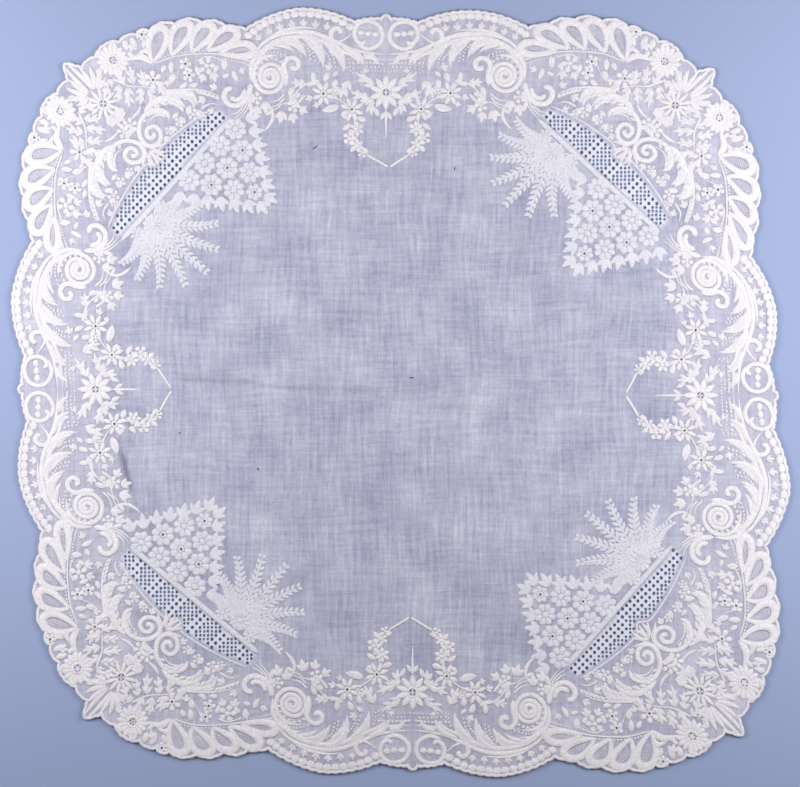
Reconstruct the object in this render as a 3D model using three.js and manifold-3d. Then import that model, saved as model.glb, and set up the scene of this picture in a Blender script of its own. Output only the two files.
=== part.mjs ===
// An embroidered pocket handkerchief lying flat: one square of sheer lawn with a scalloped edge.
// Millimetres, +Z up. The origin is the middle of the underside, and +Y runs to the top side.
import * as THREE from 'three';
import { mergeVertices } from 'three/addons/utils/BufferGeometryUtils.js';
import Module from 'manifold-3d';

// Heights of the cloth's faces above the table
const PANEL_TOP = 1.0; // the drawn-thread openwork, the thinnest stretch
const GROUND_TOP = 1.4; // the plain lawn
const RIM_TOP = 1.9; // the buttonholed edge
const STEM_TOP = 2.0; // scrolls and leaf ribbons
const FEATHER_TOP = 2.1; // feathers along the corners
const FLOWER_TOP = 2.2; // padded flowers and leaves
const ROOT = 0.7; // raised work starts at this height, inside the lawn
const CLEARANCE = 1; // how far a cut runs on above the cloth

// The edge
const RIM_WIDTH = 1.7;
const PICOT = 0.45; // how far each small buttonhole scallop stands out

// The pattern is drawn for half of the top side and half of a corner, then repeated eight times.
// Handwork is uneven: the middle of the plain field keeps to the pattern, the inner border moves
// with the scrolls of its corner, and the outer border moves with the marks along its edge.
const FIELD_RADIUS = 70;
const BORDER_RADIUS = 150;
const INNER_SHARE = 0.78; // of the way out to the edge
const OUTER_SHARE = 0.98;
const SIDE_TIP = { x: 0, y: 212.3 };
const CREST = { x: 49.6, y: 213.1 };
const NOTCH = { x: 80.3, y: 203.5 };
const FEATHER_GAP = { x: 106.3, y: 208.2 };
const BUD_GAP = { x: 136.6, y: 204.6 };
const CORNER_TIP = { x: 184.4, y: 184.4 };
const CORNER_SCROLLS = { x: 142.9, y: 142.9 };

// Where each mark of the pattern came to lie, a row for each quarter, anticlockwise from the right
const LAID_TIPS = [
  { side: 'right', x: 211.6, y: -1.9 },
  { side: 'top', x: -8.4, y: 211.8 },
  { side: 'left', x: -214.9, y: 1.5 },
  { side: 'bottom', x: 6.5, y: -212.2 },
];
const LAID_CORNERS = [
  { corner: 'top right', tip: [175.5, 181.2], scrolls: [132.7, 141.2] },
  { corner: 'top left', tip: [-188.9, 184.3], scrolls: [-145.6, 139.7] },
  { corner: 'bottom left', tip: [-177.8, -183], scrolls: [-136.6, -137.7] },
  { corner: 'bottom right', tip: [191.8, -192.6], scrolls: [143.6, -143.5] },
];
// From each side's tip on to the next corner, and from that corner on to the next side's tip
const LAID_RISING = [
  { crest: [209.5, 46.2], notch: [195.7, 75.8], feather: [198.2, 102.8], bud: [195.8, 133.2] },
  { crest: [-57, 214.9], notch: [-87, 203.5], feather: [-111.7, 207], bud: [-141.2, 202.3] },
  { crest: [-213.7, -47.8], notch: [-200.9, -78.2], feather: [-203.4, -105.2], bud: [-198.8, -134.8] },
  { crest: [55.8, -215.1], notch: [86.2, -204.5], feather: [112.4, -209.4], bud: [142.8, -208.9] },
];
const LAID_FALLING = [
  { bud: [127.6, 204.2], feather: [97.3, 208.3], notch: [71.3, 204.2], crest: [40.8, 213.3] },
  { bud: [-207.4, 138.8], feather: [-210.8, 109.6], notch: [-206.2, 84.5], crest: [-217.7, 52.6] },
  { bud: [-130, -201.6], feather: [-99.5, -201.7], notch: [-74.4, -200], crest: [-43.4, -213.2] },
  { bud: [208.2, -141.6], feather: [208.4, -113], notch: [204.4, -86.4], crest: [217.6, -55] },
];

// The edge from the side's tip to the corner's tip: where each scallop ends, how far it
// bulges out of its chord, and how many small buttonhole scallops run along it
const EDGE = [
  { scallop: 'tip flank', x: 2.6, y: 209.8, bulge: -0.3, picots: 1 },
  { scallop: 'scroll round', x: 18, y: 207.2, bulge: 0.9, picots: 4 },
  { scallop: 'beaded scallop', x: 80.3, y: 203.5, bulge: 7.8, picots: 14 },
  { scallop: 'low feather', x: 92.5, y: 205.5, bulge: 0.8, picots: 2 },
  { scallop: 'leaning feather', x: 106.3, y: 208.2, bulge: 2.5, picots: 3 },
  { scallop: 'middle feather', x: 121.5, y: 207.9, bulge: 3, picots: 3 },
  { scallop: 'upright feather', x: 136.6, y: 204.6, bulge: 3, picots: 3 },
  { scallop: 'small flower', x: 143.8, y: 202.6, bulge: 2.2, picots: 2 },
  { scallop: 'bud', x: 153.5, y: 198, bulge: 1.8, picots: 2 },
  { scallop: 'large flower', x: 167, y: 188.7, bulge: 3, picots: 4 },
  { scallop: 'leaf side lobe', x: 174.6, y: 182, bulge: 1.6, picots: 2 },
  { scallop: 'leaf tooth', x: 178.6, y: 183.4, bulge: -0.3, picots: 1 },
  { scallop: 'leaf tip', x: 184.4, y: 184.4, bulge: -0.3, picots: 1 },
];

// Feathers, from the pointed root to the round tip; each is a padded outline round an open heart
const FEATHER_BAND = 2.4;
const FEATHER_FULLNESS = 1.3;
const HEART_START = 0.3; // of the way from the root to the tip
const DROP_STEPS = 8;
const HEART_STEPS = 6;
const FEATHERS = [
  { tipX: 74.2, tipY: 191.5, rootX: 95, rootY: 190.5, width: 7.2 },
  { tipX: 83.5, tipY: 202.6, rootX: 102, rootY: 192, width: 7.4 },
  { tipX: 99.5, tipY: 207.6, rootX: 113, rootY: 192, width: 9.4 },
  { tipX: 113.2, tipY: 209, rootX: 123.5, rootY: 190.5, width: 10.4 },
  { tipX: 127.6, tipY: 207.8, rootX: 134.5, rootY: 187, width: 11 },
];

// Scrolls that wind inwards: angles in degrees, and the width of the stem, which tapers
const SCROLL_STEP = 48;
const SCROLL_TAPER = 0.4;
const SCROLLS = [
  { scroll: 'side volute', x: 67.5, y: 176, start: 10.4, end: 3, from: 60, sweep: -630, width: 2.4 },
  { scroll: 'corner volute', x: 136.2, y: 149.6, start: 10, end: 2.4, from: 100, sweep: -540, width: 2.2 },
  { scroll: 'side round', x: 9, y: 199.8, start: 7, end: 3, from: 300, sweep: -400, width: 1.8 },
];

// Leaf ribbons: the line that each follows, thickest in its middle
const RIBBON_STEPS = 5;
const RIBBON_END = 0.2; // width of an end, as a share of the middle's
const RIBBONS = [
  { ribbon: 'side leaf', width: 5.4, line: [[76, 186], [66, 194], [48, 198.6], [30, 195], [8, 188]] },
  { ribbon: 'corner leaf', width: 4.6, line: [[146, 150], [140, 161], [126, 168.5], [110, 171], [96, 169]] },
];

// Padded flowers; those on an axis of the pattern are drawn once for a side or a corner
const EDGE_FLOWER = { x: 156.4, y: 188.6, radius: 7.6, waist: 0.86, petals: 6 };
const SIDE_FLOWER = { x: 0, y: 168.3, radius: 9, waist: 0.55, petals: 8 };
const CORNER_DAISY = { x: 163, y: 163, radius: 9.6, waist: 0.5, petals: 9 };

// The leaf at the corner's tip: reach and direction of each lobe, in degrees from the diagonal
const CORNER_LEAF = { x: 170.5, y: 170.5, back: 5, gap: 8 };
const LEAF_LOBES = [
  { lobe: 'right low', turn: -74, reach: 9 },
  { lobe: 'right', turn: -46, reach: 15 },
  { lobe: 'tip', turn: 0, reach: 17.6 },
  { lobe: 'left', turn: 46, reach: 15 },
  { lobe: 'left low', turn: 74, reach: 9 },
];

// The drawn-thread openwork: its two ends as laid, and how far each long edge bows
const OPENWORK = [
  { corner: 'top right', fromX: 79.5, fromY: 157.8, toX: 149.3, toY: 92.8 },
  { corner: 'top left', fromX: -161.5, fromY: 87.5, toX: -98.5, toY: 157.8 },
  { corner: 'bottom left', fromX: -82, fromY: -151.5, toX: -156, toY: -90 },
  { corner: 'bottom right', fromX: 156.5, fromY: -89, toX: 95.5, toY: -158.5 },
];
const OPENWORK_OUTER_BOW = 9.2;
const OPENWORK_INNER_BOW = -3.6;
const OPENWORK_STEPS = 10;

const wasm = await Module();
wasm.setup();

const radians = THREE.MathUtils.degToRad;
const point = (x, y) => new THREE.Vector2(x, y);
const polar = (centre, radius, angle) =>
  point(centre.x + radius * Math.cos(angle), centre.y + radius * Math.sin(angle));

// A mark of the regular pattern, turned to its quarter, with how far the handwork moved it
const TURN = 2 * Math.PI;
function mark(regular, quarter, laidX, laidY) {
  const spot = regular.clone().rotateAround(point(0, 0), (quarter * TURN) / 4);
  return {
    angle: (spot.angle() + TURN) % TURN,
    radius: spot.length(),
    shift: point(laidX, laidY).sub(spot),
  };
}

const turned = ({ x, y }) => point(x, y);
const mirrored = ({ x, y }) => point(y, x);
const MARKS = { crest: CREST, notch: NOTCH, feather: FEATHER_GAP, bud: BUD_GAP };
const QUARTERS = [0, 1, 2, 3];

// The marks along the edge and the marks of the inner border, each ring in order of angle
const EDGE_RING = QUARTERS.flatMap((quarter) => {
  const tip = LAID_TIPS[quarter];
  const rising = Object.entries(LAID_RISING[quarter]);
  const falling = Object.entries(LAID_FALLING[quarter]);
  return [
    mark(mirrored(SIDE_TIP), quarter, tip.x, tip.y),
    ...rising.map(([name, laid]) => mark(mirrored(MARKS[name]), quarter, ...laid)),
    mark(turned(CORNER_TIP), quarter, ...LAID_CORNERS[quarter].tip),
    ...falling.map(([name, laid]) => mark(turned(MARKS[name]), quarter, ...laid)),
  ];
});
const INNER_RING = QUARTERS.flatMap((quarter) => {
  const tip = LAID_TIPS[quarter];
  return [
    mark(mirrored(SIDE_TIP), quarter, tip.x, tip.y),
    mark(turned(CORNER_SCROLLS), quarter, ...LAID_CORNERS[quarter].scrolls),
  ];
});

// A ring's radius and shift in any direction, in proportion between the two marks beside it
function ringAt(ring, angle) {
  const after = ring.findIndex((entry) => entry.angle > angle);
  const next = ring[after < 0 ? 0 : after];
  const last = ring[(after < 0 ? ring.length : after) - 1];
  const share = (angle - last.angle) / ((next.angle - last.angle + TURN) % TURN);
  return {
    radius: THREE.MathUtils.lerp(last.radius, next.radius, share),
    shift: last.shift.clone().lerp(next.shift, share),
  };
}

// Moves a point of the regular pattern to where the handwork has it
function lay(spot) {
  const angle = (spot.angle() + TURN) % TURN;
  const edge = ringAt(EDGE_RING, angle);
  const inner = ringAt(INNER_RING, angle);
  const reach = spot.length() / edge.radius;
  const outward = THREE.MathUtils.clamp((reach - INNER_SHARE) / (OUTER_SHARE - INNER_SHARE), 0, 1);
  const grip = THREE.MathUtils.smoothstep(spot.length(), FIELD_RADIUS, BORDER_RADIUS);
  return spot.clone().addScaledVector(inner.shift.lerp(edge.shift, outward), grip);
}

// A curve from a to b that stands out to its left by the bulge
function bowed(a, b, bulge) {
  const chord = b.clone().sub(a);
  const left = point(-chord.y, chord.x).normalize();
  const middle = a.clone().add(b).multiplyScalar(0.5);
  return new THREE.QuadraticBezierCurve(a, middle.addScaledVector(left, 2 * bulge), b);
}

// The eight copies of a pattern outline: mirrored in the diagonal, then turned by quarters
function copies(outline, mirror = true) {
  const flipped = outline.map(mirrored).reverse();
  const pair = mirror ? [outline, flipped] : [outline];
  return QUARTERS.flatMap((quarter) =>
    pair.map((line) => line.map((spot) => spot.clone().rotateAround(point(0, 0), (quarter * TURN) / 4))),
  );
}

// Half a side and half a corner of the edge, from the side's tip; each small scallop adds its
// crest and its end, or its end alone where the line is to stay plain
function edgeOctant(picot) {
  const line = [point(SIDE_TIP.x, SIDE_TIP.y)];
  for (const row of EDGE) {
    const start = line.at(-1).clone();
    const curve = bowed(start, point(row.x, row.y), row.bulge);
    for (let index = 0; index < row.picots; index += 1) {
      const from = curve.getPoint(index / row.picots);
      const to = curve.getPoint((index + 1) / row.picots);
      if (picot > 0) line.push(bowed(from, to, picot).getPoint(0.5));
      line.push(to);
    }
  }
  return line;
}

// The whole edge, anticlockwise, drawn in from the cut by the given width
function edgeLoop(picot, inset) {
  const octant = edgeOctant(picot);
  const upper = octant.toReversed().slice(1);
  const lower = octant.map(mirrored).slice(0, -1);
  const quarter = [...lower, octant.at(-1), ...upper.slice(0, -1)];
  const whole = copies(quarter, false).flat();
  return whole.map(lay).map((spot) => spot.setLength(spot.length() - inset));
}

// A teardrop from a pointed root to a round tip
function drop(root, tip, width, steps) {
  const axis = tip.clone().sub(root);
  const side = point(-axis.y, axis.x).normalize();
  const outline = [];
  for (let index = 0; index < steps; index += 1) {
    const angle = (TURN * index) / steps;
    const along = (1 - Math.cos(angle)) / 2;
    const half = (width / 2) * Math.sin(angle) * Math.sqrt(along) * FEATHER_FULLNESS;
    outline.push(root.clone().addScaledVector(axis, along).addScaledVector(side, -half));
  }
  return outline;
}

// A band of varying width along a line of points
function band(line, widthAt) {
  const last = line.length - 1;
  const offset = (spot, index, side) => {
    const along = line[Math.min(index + 1, last)].clone().sub(line[Math.max(index - 1, 0)]).normalize();
    return spot.clone().addScaledVector(point(along.y, -along.x), (side * widthAt(index / last)) / 2);
  };
  const right = line.map((spot, index) => offset(spot, index, 1));
  const left = line.map((spot, index) => offset(spot, index, -1));
  return [...right, ...left.reverse()];
}

function scrollOutline({ x, y, start, end, from, sweep, width }) {
  const steps = Math.ceil(Math.abs(sweep) / SCROLL_STEP);
  const line = Array.from({ length: steps + 1 }, (_, index) => {
    const share = index / steps;
    return polar({ x, y }, start + (end - start) * share, radians(from + sweep * share));
  });
  return band(line, (share) => width * (1 - SCROLL_TAPER * share));
}

function ribbonOutline({ line, width }) {
  const curve = new THREE.SplineCurve(line.map(([x, y]) => point(x, y)));
  const swell = (share) => RIBBON_END + (1 - RIBBON_END) * Math.sin(Math.PI * share);
  return band(curve.getPoints(RIBBON_STEPS), (share) => width * swell(share));
}

// A ring of petals whose gaps reach in to a waist
function flowerOutline({ x, y, radius, waist, petals }) {
  return Array.from({ length: 2 * petals }, (_, index) =>
    polar({ x, y }, index % 2 ? radius * waist : radius, (Math.PI * index) / petals),
  );
}

// The lobed leaf on the diagonal, with a gap between each lobe and the next
function leafOutline() {
  const diagonal = Math.PI / 4;
  const spots = LEAF_LOBES.flatMap(({ turn, reach }, index) => {
    const next = LEAF_LOBES[index + 1];
    const lobe = polar(CORNER_LEAF, reach, diagonal + radians(turn));
    if (!next) return [lobe];
    return [lobe, polar(CORNER_LEAF, CORNER_LEAF.gap, diagonal + radians((turn + next.turn) / 2))];
  });
  return [polar(CORNER_LEAF, CORNER_LEAF.back, diagonal + Math.PI), ...spots];
}

// The openwork's outline as laid: an outer edge that bows to the corner and a flatter inner one
function openworkOutline({ fromX, fromY, toX, toY }) {
  const from = point(fromX, fromY);
  const to = point(toX, toY);
  const outer = bowed(from, to, OPENWORK_OUTER_BOW).getPoints(OPENWORK_STEPS);
  const inner = bowed(from, to, OPENWORK_INNER_BOW).getPoints(OPENWORK_STEPS);
  return [...inner, ...outer.reverse().slice(1, -1)];
}

// A closed mesh becomes a solid that can be joined and cut
function solidOf(geometry) {
  const bare = geometry.clone();
  bare.deleteAttribute('normal');
  bare.deleteAttribute('uv');
  const merged = mergeVertices(bare, 1e-4);
  return new wasm.Manifold(
    new wasm.Mesh({
      numProp: 3,
      vertProperties: merged.attributes.position.array,
      triVerts: new Uint32Array(merged.index.array),
    }),
  );
}

// An upright prism over an outline, with an optional hole
function prism(outline, bottom, top, hole) {
  const shape = new THREE.Shape(outline);
  if (hole) shape.holes.push(new THREE.Path(hole));
  const geometry = new THREE.ExtrudeGeometry(shape, { depth: top - bottom, bevelEnabled: false });
  return solidOf(geometry.translate(0, 0, bottom));
}

// Raised pieces of one kind, each laid where the handwork has it
function raised(outlines, top) {
  return wasm.Manifold.union(outlines.map((outline) => prism(outline.map(lay), ROOT, top)));
}

function feathers() {
  const rings = FEATHERS.flatMap(({ tipX, tipY, rootX, rootY, width }) => {
    const root = point(rootX, rootY);
    const tip = point(tipX, tipY);
    const heartTip = tip.clone().lerp(root, FEATHER_BAND / tip.distanceTo(root));
    const heartRoot = root.clone().lerp(tip, HEART_START);
    const outlines = copies(drop(root, tip, width, DROP_STEPS));
    const hearts = copies(drop(heartRoot, heartTip, width - 2 * FEATHER_BAND, HEART_STEPS));
    return outlines.map((outline, index) =>
      prism(outline.map(lay), ROOT, FEATHER_TOP, hearts[index].map(lay)),
    );
  });
  return wasm.Manifold.union(rings);
}

// The cut sheet, sunk inside its rim, with the raised work on it and the openwork thinned
function handkerchief() {
  const sheet = prism(edgeLoop(PICOT, 0), 0, RIM_TOP);
  const field = prism(edgeLoop(0, RIM_WIDTH), GROUND_TOP, RIM_TOP + CLEARANCE);
  const panels = OPENWORK.map((row) => prism(openworkOutline(row), PANEL_TOP, FLOWER_TOP + CLEARANCE));
  const stems = [...SCROLLS.map(scrollOutline), ...RIBBONS.map(ribbonOutline)];
  const flowers = [
    ...copies(flowerOutline(EDGE_FLOWER)),
    ...copies(flowerOutline(SIDE_FLOWER), false),
    ...copies(flowerOutline(CORNER_DAISY), false),
    ...copies(leafOutline(), false),
  ];
  return sheet
    .subtract(field)
    .add(raised(stems.flatMap((outline) => copies(outline)), STEM_TOP))
    .add(feathers())
    .add(raised(flowers, FLOWER_TOP))
    .subtract(wasm.Manifold.union(panels));
}

// The finished solid as a geometry, with its origin at the middle of the underside
function geometryOf(solid) {
  const { vertProperties, triVerts } = solid.getMesh();
  const geometry = new THREE.BufferGeometry();
  geometry.setAttribute('position', new THREE.BufferAttribute(vertProperties, 3));
  geometry.setIndex(new THREE.BufferAttribute(triVerts, 1));
  geometry.computeBoundingBox();
  const middle = geometry.boundingBox.getCenter(new THREE.Vector3());
  geometry.translate(-middle.x, -middle.y, 0);
  geometry.computeVertexNormals();
  return geometry;
}

const lawn = new THREE.MeshStandardMaterial({ color: 0xdcdcec, roughness: 0.9, metalness: 0 });
const cloth = new THREE.Mesh(geometryOf(handkerchief()), lawn);
cloth.name = 'handkerchief';

const part = new THREE.Group();
part.add(cloth);

export default part;
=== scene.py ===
"""An embroidered lawn handkerchief, laid flat and seen from straight above.

The cloth is one sheer sheet with real openings, and every stitched motif is a padded band of
satin stitch carried along a line. The pattern is drawn once, for half of a side and half of a
corner, then mirrored, turned to all four sides and moved to where the handwork has it.
Lengths in the tables are millimetres; the meshes are metres.
"""

from __future__ import annotations

import logging
import math
from dataclasses import dataclass
from enum import Enum
from typing import Iterable, NamedTuple, Sequence

import bpy
import numpy as np
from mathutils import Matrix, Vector
from mathutils.geometry import delaunay_2d_cdt

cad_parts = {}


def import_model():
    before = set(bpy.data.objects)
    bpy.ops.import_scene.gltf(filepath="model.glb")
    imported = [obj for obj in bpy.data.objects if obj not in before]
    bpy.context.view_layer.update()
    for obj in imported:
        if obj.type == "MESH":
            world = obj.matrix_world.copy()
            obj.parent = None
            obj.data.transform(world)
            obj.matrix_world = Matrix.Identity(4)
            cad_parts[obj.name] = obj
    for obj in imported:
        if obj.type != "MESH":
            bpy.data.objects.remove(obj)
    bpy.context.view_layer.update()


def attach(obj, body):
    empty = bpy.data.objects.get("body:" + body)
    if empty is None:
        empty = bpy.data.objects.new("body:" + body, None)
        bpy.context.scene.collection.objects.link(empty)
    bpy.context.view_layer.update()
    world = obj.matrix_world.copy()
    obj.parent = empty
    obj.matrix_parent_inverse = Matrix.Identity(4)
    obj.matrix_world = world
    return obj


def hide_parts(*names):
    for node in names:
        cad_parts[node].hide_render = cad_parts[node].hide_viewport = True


LOG = logging.getLogger("handkerchief")
MM = 0.001
TURN = 2 * math.pi
NODE = "handkerchief"
BODY = "root"
LEAST_WIDTH = 0.06
Point = tuple[float, float]
Place = tuple[float, float, float]
Colour = tuple[float, float, float, float]


class EdgeRow(NamedTuple):
    """A scallop of the edge: where it ends, its bulge, and the small scallops along it."""

    x: float
    y: float
    bulge: float
    picots: int


class LeafRow(NamedTuple):
    """A satin leaf: its base, its tip, its width and how far its middle bends to the left."""

    base_x: float
    base_y: float
    tip_x: float
    tip_y: float
    width: float
    bend: float = 0.0


class FlowerRow(NamedTuple):
    """A flower: its middle, reach, petals, their width, its eyelets and whether petals are pointed."""

    x: float
    y: float
    radius: float
    petals: int
    petal_width: float
    eyelets: int
    pointed: bool = False


class StemRow(NamedTuple):
    """A corded stem: its greatest width, how it tapers, and the points that it passes."""

    width: float
    taper: "Taper"
    points: Sequence[Point]


class ScrollRow(NamedTuple):
    """A volute: its middle, radius and angle at its start, turn in degrees and width."""

    x: float
    y: float
    radius: float
    angle: float
    turn: float
    width: float


class SprigRow(NamedTuple):
    """A sprig: where its leaves meet, its direction in degrees, its length and its leaves."""

    x: float
    y: float
    angle: float
    length: float
    leaves: int


class PlumeRow(NamedTuple):
    """A plume: the lobes along one spine, their reach, width, count and lean to the left."""

    reach: float
    width: float
    count: int
    lean: float
    points: Sequence[Point]


class FrondRow(NamedTuple):
    """A fern frond: its direction in degrees, its length and how far it bows to the left."""

    angle: float
    length: float
    bow: float


class FeatherRow(NamedTuple):
    """A feather: its root, its tip, its width and how far its middle bends to the left."""

    root_x: float
    root_y: float
    tip_x: float
    tip_y: float
    width: float
    bend: float


class BeadRow(NamedTuple):
    """A row of padded dots along a line of points."""

    radius: float
    count: int
    points: Sequence[Point]


class LensRow(NamedTuple):
    """A lens of openwork as laid: its two ends, with the corner on the left of the way.

    The measure is where a block of close holes stands, or how deep the close holes reach.
    """

    from_x: float
    from_y: float
    to_x: float
    to_y: float
    style: "Openwork"
    measure: float


class CreaseRow(NamedTuple):
    """A soft crease: its two ends, its half width and its depth, a ridge where positive."""

    from_x: float
    from_y: float
    to_x: float
    to_y: float
    width: float
    depth: float


class LampRow(NamedTuple):
    """A square soft light: its name, place, aim and size in metres, and its power in watts."""

    name: str
    place: Place
    aim: Place
    size: float
    watts: float


class FleckRow(NamedTuple):
    """A fleck of lint: where it lies, its length and its direction in degrees."""

    x: float
    y: float
    length: float
    angle: float


class GrainRow(NamedTuple):
    """A noise in a finish: its scale along x, y and z, its octaves and its weight."""

    scale: Place
    detail: float
    weight: float


class Taper(Enum):
    """How the width of a worked band changes from its start to its end."""

    LEAF = "leaf"
    PETAL = "petal"
    CORD = "cord"
    TAIL = "tail"
    ROUND = "round"

    def share(self, along: np.ndarray) -> np.ndarray:
        """Give the band's half width as a share of its greatest.

        Args:
            along: positions from 0 at the start to 1 at the end.

        Returns:
            The share at each position, by a power of a sine or of the distance from an end, or
            by a half circle.
        """
        if self is Taper.LEAF:
            shape = np.sin(math.pi * along**0.85) ** 0.75
        elif self is Taper.PETAL:
            shape = np.sin(math.pi * along**1.5) ** 0.6
        elif self is Taper.CORD:
            shape = np.minimum(1.0, np.sqrt(np.minimum(along, 1 - along) / 0.05 + 0.04))
        elif self is Taper.TAIL:
            shape = np.minimum(np.sqrt(along / 0.06 + 0.04), 1.0) * (1 - along) ** 0.6
        else:
            shape = np.sqrt(np.clip(1 - (2 * along - 1) ** 2, 0, 1))
        return np.clip(shape, LEAST_WIDTH, 1.0)


class Openwork(Enum):
    """How the drawn-thread holes are grouped in a lens."""

    BLOCKS = "blocks"
    STRIPE = "stripe"


def spline(points: Sequence[Point], count: int) -> np.ndarray:
    """Carry a smooth line through points, by a Catmull-Rom curve with even steps per span.

    Args:
        points: the points that the line passes.
        count: how many points to give back.

    Returns:
        An array of shape (count, 2).
    """
    knots = np.asarray(points, float)
    padded = np.vstack([2 * knots[0] - knots[1], knots, 2 * knots[-1] - knots[-2]])
    where = np.linspace(0, len(knots) - 1, count)
    span = np.minimum(where.astype(int), len(knots) - 2)
    t = (where - span)[:, None]
    p0, p1, p2, p3 = (padded[span + step] for step in range(4))
    curve = 2 * p1 + (p2 - p0) * t + (2 * p0 - 5 * p1 + 4 * p2 - p3) * t**2
    return 0.5 * (curve + (3 * p1 - p0 - 3 * p2 + p3) * t**3)


def heading(angle: np.ndarray) -> np.ndarray:
    """Give a step of length one in each direction, with its x and y stacked last."""
    return np.stack([np.cos(angle), np.sin(angle)], axis=-1)


def bowed(start: np.ndarray, end: np.ndarray, bulge: float, t: np.ndarray) -> np.ndarray:
    """Bow a line: a parabola from start to end that stands out to the left at its middle.

    Args:
        start: where the line starts.
        end: where it ends.
        bulge: how far its middle stands out, to the right where negative.
        t: positions from 0 at the start to 1 at the end.

    Returns:
        An array of shape (positions, 2).
    """
    chord = np.asarray(end, float) - start
    left = np.array([-chord[1], chord[0]]) / np.hypot(*chord)
    return start + t[:, None] * chord + (4 * bulge * t * (1 - t))[:, None] * left


def turned(points: np.ndarray, quarters: int) -> np.ndarray:
    """Turn points anticlockwise about the origin by whole quarters.

    Args:
        points: an array whose last axis is x and y.
        quarters: how many quarters of a turn.

    Returns:
        The turned points, x' = x cos - y sin and y' = x sin + y cos.
    """
    cosine, sine = ((1, 0), (0, 1), (-1, 0), (0, -1))[quarters % 4]
    x, y = points[..., 0], points[..., 1]
    return np.stack([cosine * x - sine * y, sine * x + cosine * y], axis=-1)


def copies(lines: np.ndarray, mirror: bool) -> np.ndarray:
    """Repeat pattern lines on all four sides.

    Args:
        lines: an array of shape (lines, points, 2) drawn for the top side's right half.
        mirror: whether each line is also mirrored in the corner's diagonal.

    Returns:
        An array of shape (copies * lines, points, 2).
    """
    pair = [lines, lines[..., ::-1]] if mirror else [lines]
    return np.concatenate([turned(line, quarter) for quarter in range(4) for line in pair])


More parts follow.
